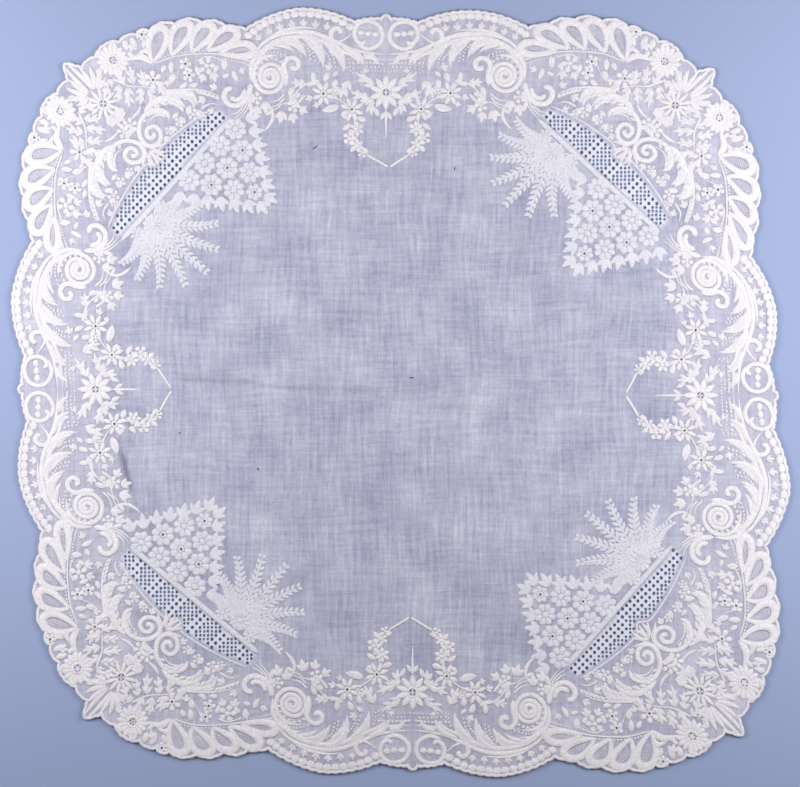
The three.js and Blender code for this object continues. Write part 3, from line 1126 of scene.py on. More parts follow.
@dataclass(frozen=True)
class Border:
    """The worked border: one flank of it, drawn from the middle of the top side to the corner.

    The tables give places as they lie on the top side's right flank; the shift takes them back
    to the regular pattern, which the layout then moves for each side and corner.
    """

    shift: Point = (9.0, 0.6)
    side_stems: Sequence[StemRow] = (
        StemRow(2.9, Taper.CORD, ((7.4, 193.6), (0.5, 191.8), (-5.4, 195), (-7, 200), (-4.7, 204.9), (1, 207),
                                  (6.7, 205.3), (9, 200.5), (7.8, 196.2), (4.8, 194.6), (2.6, 196.6))),
        StemRow(2.2, Taper.TAIL, ((19.5, 194.5), (14.5, 196.8), (9.5, 200.8))),
        StemRow(3.3, Taper.CORD, ((19.6, 193.5), (22.4, 196.5), (22.2, 200.4), (19.8, 202.6), (17.2, 201.6),
                                  (17.6, 199.4))),
        StemRow(3.4, Taper.CORD, ((49.2, 171.5), (48.8, 177.5), (50, 182), (48.4, 185.4), (45, 186.6),
                                  (41.8, 184.8), (41.8, 181.8), (44, 180.6), (46, 182.4))),
        StemRow(1.7, Taper.TAIL, ((49.6, 168), (54, 164.2), (60.6, 163))),
        StemRow(1.5, Taper.TAIL, ((50, 165.4), (54.6, 161.6), (61, 160.6))),
        StemRow(1.4, Taper.TAIL, ((51.4, 162.6), (55, 159.8), (59.6, 158.8))),
        StemRow(1.6, Taper.CORD, ((3.8, 133.2), (-2, 129.8), (-8.6, 125.6))),
        StemRow(1.5, Taper.TAIL, ((-8.9, 158), (-8.7, 151), (-8.9, 141.5))),
        StemRow(2.4, Taper.LEAF, ((57.6, 161), (57.2, 155), (59.4, 150.6), (62.6, 147.4))),
        StemRow(1.2, Taper.TAIL, ((52, 162), (46, 163.4), (40, 166))),
        StemRow(1.1, Taper.CORD, ((1, 164), (5, 161.6), (8.2, 159.8))),
        StemRow(1.1, Taper.CORD, ((10.4, 155.4), (9.4, 152), (9.8, 146), (11, 141), (7, 136))),
        StemRow(1.1, Taper.CORD, ((13.2, 160.4), (18, 164), (24.6, 166.6))),
        StemRow(1.1, Taper.CORD, ((29.4, 169.8), (33, 173.4), (40, 171), (46, 165.6))),
        StemRow(1.2, Taper.TAIL, ((30, 172), (36, 173.4), (42, 170.6))),
        StemRow(3.2, Taper.LEAF, ((67.4, 184), (63.6, 192.6), (55, 198), (44, 200), (32, 199.4), (22, 196.2),
                                  (11, 191.6), (-1, 189.4), (-9.6, 189))),
        StemRow(3.2, Taper.LEAF, ((66.4, 183), (62, 191), (53.4, 195.8), (43, 197.4), (32, 196.6),
                                  (23, 193.2), (12, 188.6), (0, 186.4), (-9.6, 186.2))),
        StemRow(3.0, Taper.LEAF, ((64.8, 185), (60, 191), (53, 194.6), (45, 194.8))),
        StemRow(3.2, Taper.LEAF, ((69.2, 174), (69, 182), (65.4, 188.4), (59, 191.6), (52, 191.6))),
        StemRow(2.2, Taper.LEAF, ((58, 197.6), (50, 201), (40, 202.2), (30, 201.6))),
    )
    side_scrolls: Sequence[ScrollRow] = (ScrollRow(58, 176.8, 12.2, 112, -1210, 2.9),)
    side_leaves: Sequence[LeafRow] = (
        LeafRow(54, 196.4, 37, 186.2, 4.2, -4.6),
        LeafRow(51, 194.4, 39.4, 188.2, 3.4, -2.8),
        LeafRow(55, 193, 43.6, 189.4, 2.8, -1.6),
        LeafRow(42, 199, 27.6, 180.8, 4.6, -5.8),
        LeafRow(39, 196, 29.2, 183.6, 3.6, -3.4),
        LeafRow(37, 193.8, 31, 187.6, 2.8, -1.6),
        LeafRow(29.6, 196.6, 15.4, 178.6, 4.6, -4.8),
        LeafRow(26.4, 193.2, 17, 181.6, 3.6, -2.8),
        LeafRow(24, 190.6, 19, 185.4, 2.8, -1.4),
        LeafRow(17, 192, 3.6, 182.4, 3.8, -3.0),
        LeafRow(13.6, 188.8, 6, 183.2, 3.0, -1.6),
        LeafRow(4.6, 188.4, -5, 182.8, 3.4, -2.0),
        LeafRow(18.4, 160.8, 28.6, 158.2, 4.8, -0.4),
        LeafRow(33.2, 179.4, 33, 173, 3.2),
        LeafRow(29.4, 174.6, 37, 171.2, 3.0, 0.4),
        LeafRow(2.4, 152, 8.4, 154.2, 3.4),
        LeafRow(11.6, 150.6, 16.6, 147, 3.0),
        LeafRow(13.4, 153.4, 17.4, 156.4, 2.8),
        LeafRow(9.6, 138.2, 12.4, 134.6, 3.0),
        LeafRow(5.8, 136.8, 2, 134.4, 2.8),
        LeafRow(10.6, 146, 13, 147.4, 2.4),
        LeafRow(-2.4, 159.4, -4.6, 154.2, 2.8),
        LeafRow(-8.4, 156.6, -5.8, 152.2, 2.4),
        LeafRow(20.2, 175.4, 21.4, 170, 3.4),
        LeafRow(24.4, 179, 26.8, 173.6, 3.4),
        LeafRow(18.6, 179.6, 22.2, 176.4, 2.6),
        LeafRow(45, 171.4, 47.4, 165.6, 3.2),
        LeafRow(41, 168.4, 43.6, 165.4, 2.8),
        LeafRow(57.4, 158.6, 61.6, 156.4, 2.4),
        LeafRow(70.4, 163.4, 69, 157.4, 2.8),
    )
    side_foliage: Sequence[LeafRow] = (
        LeafRow(-2.4, 170.8, 8.8, 178.4, 5.0, 0.8),
        LeafRow(0.2, 163.4, 12, 168.4, 5.0, 0.6),
        LeafRow(0.8, 165.6, -0.4, 154.8, 4.8, -0.6),
        LeafRow(12, 175, 17.8, 164.4, 5.4, 0.8),
        LeafRow(37.6, 172.6, 46, 173.6, 4.6),
    )
    side_flowers: Sequence[FlowerRow] = (
        FlowerRow(11, 158.5, 7.2, 8, 2.9, 1, True),
        FlowerRow(27.5, 167.5, 7.0, 8, 2.9, 1, True),
        FlowerRow(8, 147.5, 4.6, 6, 2.8, 0, True),
        FlowerRow(12.5, 142.4, 4.2, 5, 3.4, 0),
        FlowerRow(8.2, 138.4, 4.0, 6, 2.5, 0, True),
        FlowerRow(5.6, 134.2, 3.0, 5, 2.4, 0),
        FlowerRow(45, 161, 4.0, 5, 3.2, 0),
        FlowerRow(66.6, 165.6, 3.8, 5, 3.0, 0),
        FlowerRow(21.2, 167.4, 3.0, 5, 2.4, 0),
    )
    axis_flower: FlowerRow = FlowerRow(0, 168.3, 10.2, 10, 4.0, 4, True)
    side_beads: Sequence[BeadRow] = (
        BeadRow(2.55, 15, ((11.6, 203.4), (18.8, 207), (27, 208.8), (35, 209.5), (43, 209.3), (51, 207.9),
                           (58, 205.7), (64, 202.7), (69.6, 199))),
        BeadRow(2.0, 3, ((-2.9, 200), (1.2, 200.2), (5.2, 200.6))),
        BeadRow(1.0, 8, ((51.6, 184.8), (56, 186.6), (61, 185.2), (65.2, 181), (66, 175.4))),
        BeadRow(0.9, 6, ((52.4, 171.4), (56, 168.6), (60.4, 168.8), (64.4, 171.6))),
        BeadRow(0.9, 9, ((-7, 183.6), (0, 184.2), (10, 184))),
        BeadRow(0.7, 7, ((-5, 181.8), (2, 181.8), (10, 181))),
        BeadRow(0.6, 10, ((-8, 179.4), (0, 179.6), (10, 178.6))),
        BeadRow(1.0, 7, ((39, 166.4), (41, 164), (43.4, 161.8))),
        BeadRow(0.75, 6, ((38.6, 193.8), (35.6, 190.6), (34.6, 185.8))),
        BeadRow(0.75, 6, ((35.8, 193.6), (33.4, 190), (32.4, 184.8))),
        BeadRow(0.75, 6, ((26.4, 189.8), (23.8, 186.6), (22.6, 182))),
        BeadRow(0.75, 6, ((23.6, 190), (21.6, 187), (20.2, 181.8))),
        BeadRow(0.75, 8, ((62.4, 188), (56.4, 190), (49.4, 188.2))),
        BeadRow(0.7, 7, ((59.6, 187), (54, 187.8), (46, 186.8))),
        BeadRow(0.7, 4, ((12.8, 185.8), (11.8, 183), (11.6, 179.6))),
    )
    side_sprigs: Sequence[SprigRow] = (
        SprigRow(25, 201.4, 100, 4.6, 3),
        SprigRow(31.4, 202, 92, 4.8, 3),
        SprigRow(38, 202.6, 88, 4.8, 3),
        SprigRow(44.6, 202.2, 82, 4.8, 3),
        SprigRow(51, 201, 75, 4.8, 3),
        SprigRow(57, 199, 66, 4.6, 3),
        SprigRow(62.6, 196.4, 50, 4.6, 3),
        SprigRow(14, 202.4, 150, 3.6, 3),
        SprigRow(41.6, 160, -150, 6.0, 3),
        SprigRow(46, 157.4, -100, 6.4, 3),
        SprigRow(51.4, 158.6, -75, 7.6, 3),
        SprigRow(47.6, 165.6, -160, 5.6, 3),
        SprigRow(61, 164, -85, 7.0, 3),
        SprigRow(66, 161.6, -80, 7.0, 3),
        SprigRow(69.6, 167.6, -80, 6.0, 3),
        SprigRow(34, 166, -20, 4.6, 3),
        SprigRow(22.4, 181, 20, 4.8, 3),
        SprigRow(2.6, 178.4, 80, 3.8, 3),
        SprigRow(17.6, 170.6, -30, 4.4, 3),
        SprigRow(30, 161.6, -10, 4.0, 3),
    )
    feathers: Sequence[FeatherRow] = (
        FeatherRow(87, 190.4, 67.0, 191.4, 6.4, -0.6),
        FeatherRow(94, 192, 76.4, 201.2, 8.2, -1.2),
        FeatherRow(103, 191.4, 91.2, 205.2, 8.8, -1.6),
        FeatherRow(114.4, 190.2, 104.6, 206.8, 9.2, -1.4),
        FeatherRow(125.6, 186, 119.6, 205.2, 9.4, -0.6),
    )
    corner_stems: Sequence[StemRow] = (
        StemRow(1.2, Taper.CORD, ((68, 185), (74, 187), (83, 189.2), (92, 190.4), (103, 190.4),
                                  (114, 189.2), (125, 185.4))),
        StemRow(3.1, Taper.CORD, ((116.8, 154.5), (118.6, 158.4), (124, 160), (130, 157.8), (134, 152),
                                  (134, 145.4), (130.8, 141), (126.4, 140.4), (122.8, 143.2), (122.4, 148),
                                  (125.6, 151), (129.6, 149.6), (130.2, 146.2), (127.8, 144.4), (126, 146.2),
                                  (127.2, 147.6))),
        StemRow(2.0, Taper.TAIL, ((118.6, 156), (122, 157), (127, 155.6), (130.6, 151))),
        StemRow(5.0, Taper.LEAF, ((131.4, 158.6), (126, 163.6), (118, 166.4), (111.6, 164.8),
                                  (107.4, 160.6))),
        StemRow(2.4, Taper.TAIL, ((121, 168.4), (116, 170.6), (104, 171.2), (95, 170), (86.2, 166.4))),
        StemRow(5.2, Taper.LEAF, ((120, 167.6), (112, 169.6), (104, 167.8), (100.4, 162.4))),
        StemRow(3.6, Taper.CORD, ((69.4, 174), (71, 167.4), (75.6, 162.6), (81.6, 162.2), (85, 166),
                                  (84, 170.2), (80, 171.6))),
        StemRow(3.2, Taper.CORD, ((72.8, 171), (74.8, 166.6), (78.6, 165), (81.4, 167))),
        StemRow(1.8, Taper.TAIL, ((69, 167), (72, 160), (79, 151.6))),
        StemRow(1.7, Taper.TAIL, ((71.4, 164), (75, 158.4), (80.6, 154))),
        StemRow(1.6, Taper.TAIL, ((74, 161.4), (78, 158), (82.6, 157))),
        StemRow(1.8, Taper.TAIL, ((99, 160.4), (93, 163.2), (87.6, 162))),
        StemRow(2.2, Taper.LEAF, ((132.6, 162.4), (135.4, 157.6), (140.2, 153.6))),
        StemRow(4.6, Taper.LEAF, ((125.6, 185), (132, 188.8), (141.4, 186.4))),
        StemRow(1.4, Taper.TAIL, ((100, 186.6), (94, 189), (86, 186.4), (79, 181.6))),
        StemRow(1.2, Taper.TAIL, ((108, 188.4), (111, 181), (114.6, 174))),
        StemRow(1.6, Taper.TAIL, ((148.6, 176.4), (139, 172.6), (129, 172.2), (119.6, 170.2))),
    )
    corner_leaves: Sequence[LeafRow] = (
        LeafRow(129, 138.4, 119.2, 141.2, 2.2, -0.6),
        LeafRow(129.4, 137.4, 118.6, 136.6, 2.3, -0.2),
        LeafRow(129.8, 136.8, 120.6, 131.8, 2.3, 0.2),
        LeafRow(130.6, 136, 124.8, 127.8, 2.3, 0.4),
        LeafRow(84.2, 187.6, 84.8, 181.2, 3.8),
        LeafRow(79.6, 181.6, 76.6, 174.8, 3.2, 0.5),
        LeafRow(81.6, 179.2, 86, 177.4, 2.8),
        LeafRow(100, 174.8, 105.2, 173.6, 3.0, -0.8),
        LeafRow(106.2, 175.6, 111, 172.4, 3.0, -0.6),
        LeafRow(115, 187, 115.2, 180, 3.6),
        LeafRow(113.2, 180.4, 115.4, 174.2, 3.8, 0.4),
        LeafRow(118.4, 185, 120.6, 180.4, 3.2),
        LeafRow(101, 184, 98.8, 178.2, 3.0),
        LeafRow(88, 184.4, 90.8, 180, 3.0),
        LeafRow(137.6, 200, 134.2, 192.8, 3.6),
        LeafRow(141.4, 198.6, 139.6, 192, 3.6),
        LeafRow(129.2, 199.4, 130.8, 193.6, 3.2),
        LeafRow(126.6, 194, 134, 190.4, 2.8),
        LeafRow(105, 162.6, 106.6, 157, 3.4),
        LeafRow(111.6, 158.4, 115.4, 155.2, 3.0),
        LeafRow(122.6, 171.4, 119.6, 175.6, 3.2),
        LeafRow(142.6, 160.4, 148.4, 157.6, 3.0, 0.3),
        LeafRow(144, 158, 146, 151.4, 3.0, 0.3),
        LeafRow(147.4, 155.4, 151, 150, 2.8, 0.3),
        LeafRow(136.6, 148.6, 142.4, 145.8, 3.0, 0.3),
        LeafRow(153, 192, 158.4, 187.4, 3.4),
        LeafRow(139.4, 191.6, 135.6, 187.8, 2.8),
    )
    corner_foliage: Sequence[LeafRow] = (
        LeafRow(127.6, 172.4, 125, 162.6, 4.4, 0.6),
        LeafRow(132.6, 172.6, 133.4, 162, 4.6, -0.6),
        LeafRow(139.6, 172.8, 139, 160.2, 4.8, 0.6),
        LeafRow(144.8, 173.6, 145.8, 163, 4.4, -0.6),
        LeafRow(131, 172.6, 132.6, 182.4, 4.6, 0.6),
        LeafRow(136.8, 173, 138.6, 184, 4.8, 0.4),
        LeafRow(141.4, 173.6, 146.2, 182, 4.4, -0.6),
        LeafRow(147, 175.4, 154.6, 171, 4.2, 0.4),
    )
    corner_plumes: Sequence[PlumeRow] = (
        PlumeRow(5.4, 2.4, 6, 38, ((121, 167), (112, 169), (104, 167.4), (100.6, 162.6))),
        PlumeRow(5.4, 2.4, 7, 38, ((131, 158.6), (126, 163), (118, 165.8), (111.6, 164.4), (107.6, 160.6))),
        PlumeRow(4.4, 1.9, 9, 34, ((121, 168.4), (104, 171.2), (95, 170), (87, 166.8))),
        PlumeRow(4.6, 2.0, 6, 40, ((134, 150), (130, 157.8), (124, 160), (118.6, 158.4))),
    )
    corner_flowers: Sequence[FlowerRow] = (
        FlowerRow(94.6, 184, 5.2, 5, 3.8, 0),
        FlowerRow(107, 185.2, 4.0, 5, 3.2, 1),
        FlowerRow(105, 179, 4.0, 5, 3.2, 1),
        FlowerRow(125.6, 176.2, 5.6, 6, 3.8, 1),
        FlowerRow(103, 157.4, 3.6, 5, 2.8, 0),
        FlowerRow(111, 153.4, 3.2, 5, 2.6, 0),
        FlowerRow(139.4, 151, 4.6, 6, 3.2, 0),
        FlowerRow(131.4, 201.6, 3.6, 6, 2.6, 1),
        FlowerRow(98, 156.4, 2.6, 5, 2.0, 0),
        FlowerRow(117, 148.6, 2.8, 5, 2.2, 0),
    )
    corner_sprigs: Sequence[SprigRow] = (
        SprigRow(91, 180.6, -100, 6.0, 3),
        SprigRow(96.4, 179.6, -70, 5.4, 3),
        SprigRow(121.4, 173, -115, 5.6, 3),
        SprigRow(143.4, 161, -70, 6.0, 3),
        SprigRow(146.6, 156, -65, 7.4, 3),
        SprigRow(151, 171.6, -70, 6.4, 3),
        SprigRow(158, 176.4, -150, 6.0, 3),
        SprigRow(136.6, 196.4, -80, 5.6, 3),
        SprigRow(127, 190.6, 60, 5.0, 3),
        SprigRow(89, 171.6, 20, 5.0, 3),
        SprigRow(96, 166.6, -30, 5.4, 3),
        SprigRow(91, 158.6, 20, 4.4, 3),
        SprigRow(76, 180, 160, 4.6, 3),
        SprigRow(120.4, 145, -150, 4.6, 3),
        SprigRow(114.4, 151.4, -80, 5.0, 3),
        SprigRow(108.4, 156, -60, 4.6, 3),
        SprigRow(100.6, 160, -110, 4.4, 3),
        SprigRow(117.4, 176.6, -90, 4.6, 3),
        SprigRow(150, 196.6, -160, 5.4, 3),
        SprigRow(156.4, 181.6, -120, 5.0, 3),
    )
    edge_flower: FlowerRow = FlowerRow(147.6, 186.4, 9.4, 16, 3.6, 5)
    corner_daisy: FlowerRow = FlowerRow(163, 163, 9.8, 12, 2.7, 4, True)
    corner_beads: Sequence[BeadRow] = (
        BeadRow(0.7, 34, ((68, 186.6), (74, 188.6), (83, 190.8), (92, 192), (103, 192), (114, 190.8),
                          (124, 187.4))),
        BeadRow(0.6, 16, ((69, 183), (74, 184.8), (82, 187), (92, 188.4))),
    )
    leaf_base: Point = (170.4, 170.4)
    leaf_lobes: Sequence[LeafRow] = (
        LeafRow(-2, 1.0, 18.6, 0.9, 3.0, 0.9),
        LeafRow(-2, 1.6, 12.0, 4.6, 3.3, 0.8),
        LeafRow(-2, 2.4, 9.2, 9.4, 3.6, 0.8),
        LeafRow(-2.6, 3.0, 4.2, 12.4, 3.6, 0.6),
        LeafRow(-3.4, 3.2, -1.6, 12.2, 3.2, 0.4),
    )
    stem_steps: float = 1.6
    seed_radius: float = 0.36
    fullness: float = 1.12
    low_loft: float = 0.35
    loft: float = 0.5
    high_loft: float = 0.6
    leaf_loft: float = 0.62
    bead_loft: float = 0.6
    seed_steps: int = 5
    lobe_steps: int = 10
    lobe_vein: float = 0.6
    rim_width: float = 1.9
    rim_steps: int = 5

    def drawn(self, lines: np.ndarray) -> np.ndarray:
        """Take measured lines back to the regular pattern."""
        return lines + np.array(self.shift)

    def eyelets(self, layout: HandLayout) -> np.ndarray:
        """Place the eyelets of all flowers.

        Args:
            layout: where the pattern came to lie.

        Returns:
            Their middles, as laid.
        """
        flank = [*self.side_flowers, *self.corner_flowers, self.edge_flower]
        paired = np.vstack([self.drawn(self.eyelet_ring(row)) for row in flank if row.eyelets])
        single = np.vstack([self.eyelet_ring(self.axis_flower), self.eyelet_ring(self.corner_daisy)])
        spots = [copies(paired[None], True), copies(single[None], False)]
        return np.vstack([layout.lay(spot).reshape(-1, 2) for spot in spots])

    @staticmethod
    def eyelet_ring(row: FlowerRow, close: float = 1.35, wide: float = 1.755) -> np.ndarray:
        """Place a flower's eyelets: one in its middle, or a small ring of them.

        Args:
            row: the flower.
            close: the radius of a ring of up to four.
            wide: the radius of a ring of more.

        Returns:
            The eyelets' middles, as drawn.
        """
        if row.eyelets == 1:
            return np.array([[row.x, row.y]], float)
        angle = TURN * (np.arange(row.eyelets) + 0.5) / row.eyelets
        return np.array([row.x, row.y]) + (close if row.eyelets <= 4 else wide) * heading(angle)

    def stems(self, needle: Needle, rows: Iterable[StemRow]) -> list[Patch]:
        """Work corded stems: a band along a smooth line, with its own taper.

        Args:
            needle: the needle.
            rows: the stems.

        Returns:
            The worked bands.
        """
        patches = []
        for row in rows:
            knots = np.array(row.points)
            length = np.hypot(*np.diff(knots, axis=0).T).sum()
            steps = max(6, round(length / self.stem_steps) + 3)
            half = row.width / 2 * row.taper.share(np.linspace(0, 1, steps))
            patches.append(needle.pattern(self.drawn(spline(row.points, steps))[None], half, self.loft))
        return patches

    def scrolls(self, needle: Needle) -> list[Patch]:
        """Work the large volutes.

        Args:
            needle: the needle.

        Returns:
            The worked bands.
        """
        patches = []
        for row in self.side_scrolls:
            line = scroll_line(row)
            half = row.width / 2 * Taper.CORD.share(np.linspace(0, 1, len(line)))
            patches.append(needle.pattern(self.drawn(line)[None], half, self.loft))
        return patches

    def leaves(self, needle: Needle, rows: Sequence[LeafRow]) -> list[Patch]:
        """Work satin leaves, every other one padded higher so that neighbours part.

        Args:
            needle: the needle.
            rows: the leaves.

        Returns:
            The low leaves and the high ones.
        """
        patches = []
        for first, loft in enumerate((self.loft, self.leaf_loft)):
            lines, half = leaf_lines(rows[first::2])
            patches.append(needle.pattern(self.drawn(lines), self.fullness * half, loft, vein=1.0))
        return patches

    def sprigs(self, needle: Needle, rows: Iterable[SprigRow]) -> list[Patch]:
        """Work sprigs of small leaves."""
        return self.leaves(needle, [leaf for row in rows for leaf in sprig_leaves(row)])

    def flowers(self, needle: Needle, rows: Iterable[FlowerRow]) -> list[Patch]:
        """Work flowers petal by petal, and then their hearts.

        Args:
            needle: the needle.
            rows: the flowers.

        Returns:
            The worked bands.
        """
        patches = []
        for row in rows:
            lines, half = petal_lines(row)
            patches.append(needle.pattern(self.drawn(lines), half, self.loft))
            heart, width = self.heart(row)
            patches.append(needle.pattern(self.drawn(heart), width, self.loft))
        return patches

    @staticmethod
    def heart(
        row: FlowerRow, single: Point = (1.3, 0.65), cluster: Point = (2.8, 0.9), knot: float = 0.3
    ) -> tuple[np.ndarray, np.ndarray]:
        """Draw the ring round a flower's eyelets, or a plain knot where it has none.

        Args:
            row: the flower.
            single: the radius and half width of the ring round one eyelet.
            cluster: those of the ring round several.
            knot: the knot's radius, as a share of the flower's reach.

        Returns:
            The line and its half widths.
        """
        if row.eyelets:
            radius, half = single if row.eyelets == 1 else cluster
            line = ring_line(row.x, row.y, radius)
            return line, np.full(line.shape[1], half)
        return bead_lines(np.array([[row.x, row.y]]), row.radius * knot)

    def beads(self, needle: Needle, rows: Iterable[BeadRow]) -> list[Patch]:
        """Work rows of padded dots, evenly spaced along their lines.

        Args:
            needle: the needle.
            rows: the rows of dots.

        Returns:
            The worked bands.
        """
        patches = []
        for row in rows:
            lines, half = bead_lines(spline(row.points, row.count), row.radius)
            loft = min(self.loft, row.radius * self.bead_loft)
            patches.append(needle.pattern(self.drawn(lines), half, loft))
        return patches

    @staticmethod
    def seeds(
        row: FeatherRow, span: Point = (0.34, 0.82), count: int = 8, stagger: float = 0.03, part: float = 0.13
    ) -> np.ndarray:
        """Place the dots in a feather's heart: three staggered files that part towards the tip.

        Args:
            row: the feather.
            span: where the files start and end, as shares of the feather's length.
            count: dots in each file.
            stagger: how far the outer files are moved along, as a share of the length.
            part: how far the outer files stand off at the tip, as a share of the width.

        Returns:
            The dots' middles.
        """
        root, tip = np.array([row.root_x, row.root_y]), np.array([row.tip_x, row.tip_y])
        side = np.array([root[1] - tip[1], tip[0] - root[0]]) / np.hypot(*(tip - root))
        files = []
        for turn in (-1, 0, 1):
            along = np.linspace(*span, count) + stagger * abs(turn)
            spread = turn * row.width * part * np.sqrt(along)
            files.append(bowed(root, tip, row.bend, along) + spread[:, None] * side)
        return np.vstack(files)

    def feather_work(self, needle: Needle) -> list[Patch]:
        """Work feathers: a padded outline round a seeded heart.

        Args:
            needle: the needle.

        Returns:
            The worked bands.
        """
        patches = []
        for row in self.feathers:
            ring, half = feather_ring(row)
            patches.append(needle.pattern(self.drawn(ring), half, self.high_loft))
            lines, dots = bead_lines(self.seeds(row), self.seed_radius, self.seed_steps)
            patches.append(needle.pattern(self.drawn(lines), dots, self.low_loft))
        return patches

    def axis_work(self, needle: Needle) -> list[Patch]:
        """Work the flowers and the leaf that lie on an axis of the pattern.

        Args:
            needle: the needle.

        Returns:
            The worked bands.
        """
        patches = []
        for row in (self.axis_flower, self.corner_daisy):
            lines, half = petal_lines(row)
            patches.append(needle.pattern(lines, half, self.high_loft, mirror=False))
            heart, width = self.heart(row)
            patches.append(needle.pattern(heart, width, self.loft, mirror=False))
        lines, half = leaf_lines(self.leaf_lobes, self.lobe_steps)
        diagonal = math.sqrt(0.5)
        spin = np.array([[diagonal, diagonal], [-diagonal, diagonal]])
        lobes = lines @ spin + self.leaf_base
        patches.append(needle.pattern(lobes, half, self.high_loft, vein=self.lobe_vein))
        return patches

    def rim(self, needle: Needle, edge: ScallopedEdge) -> Patch:
        """Work the buttonholed rim along the cut edge.

        Args:
            needle: the needle.
            edge: the scalloped edge.

        Returns:
            One band that closes on itself.
        """
        half = self.rim_width / 2
        line = edge.loop(self.rim_steps, half)
        closed = np.vstack([line, line[:1]])[None]
        return needle.satin(closed, np.full(closed.shape[1], half), self.loft)


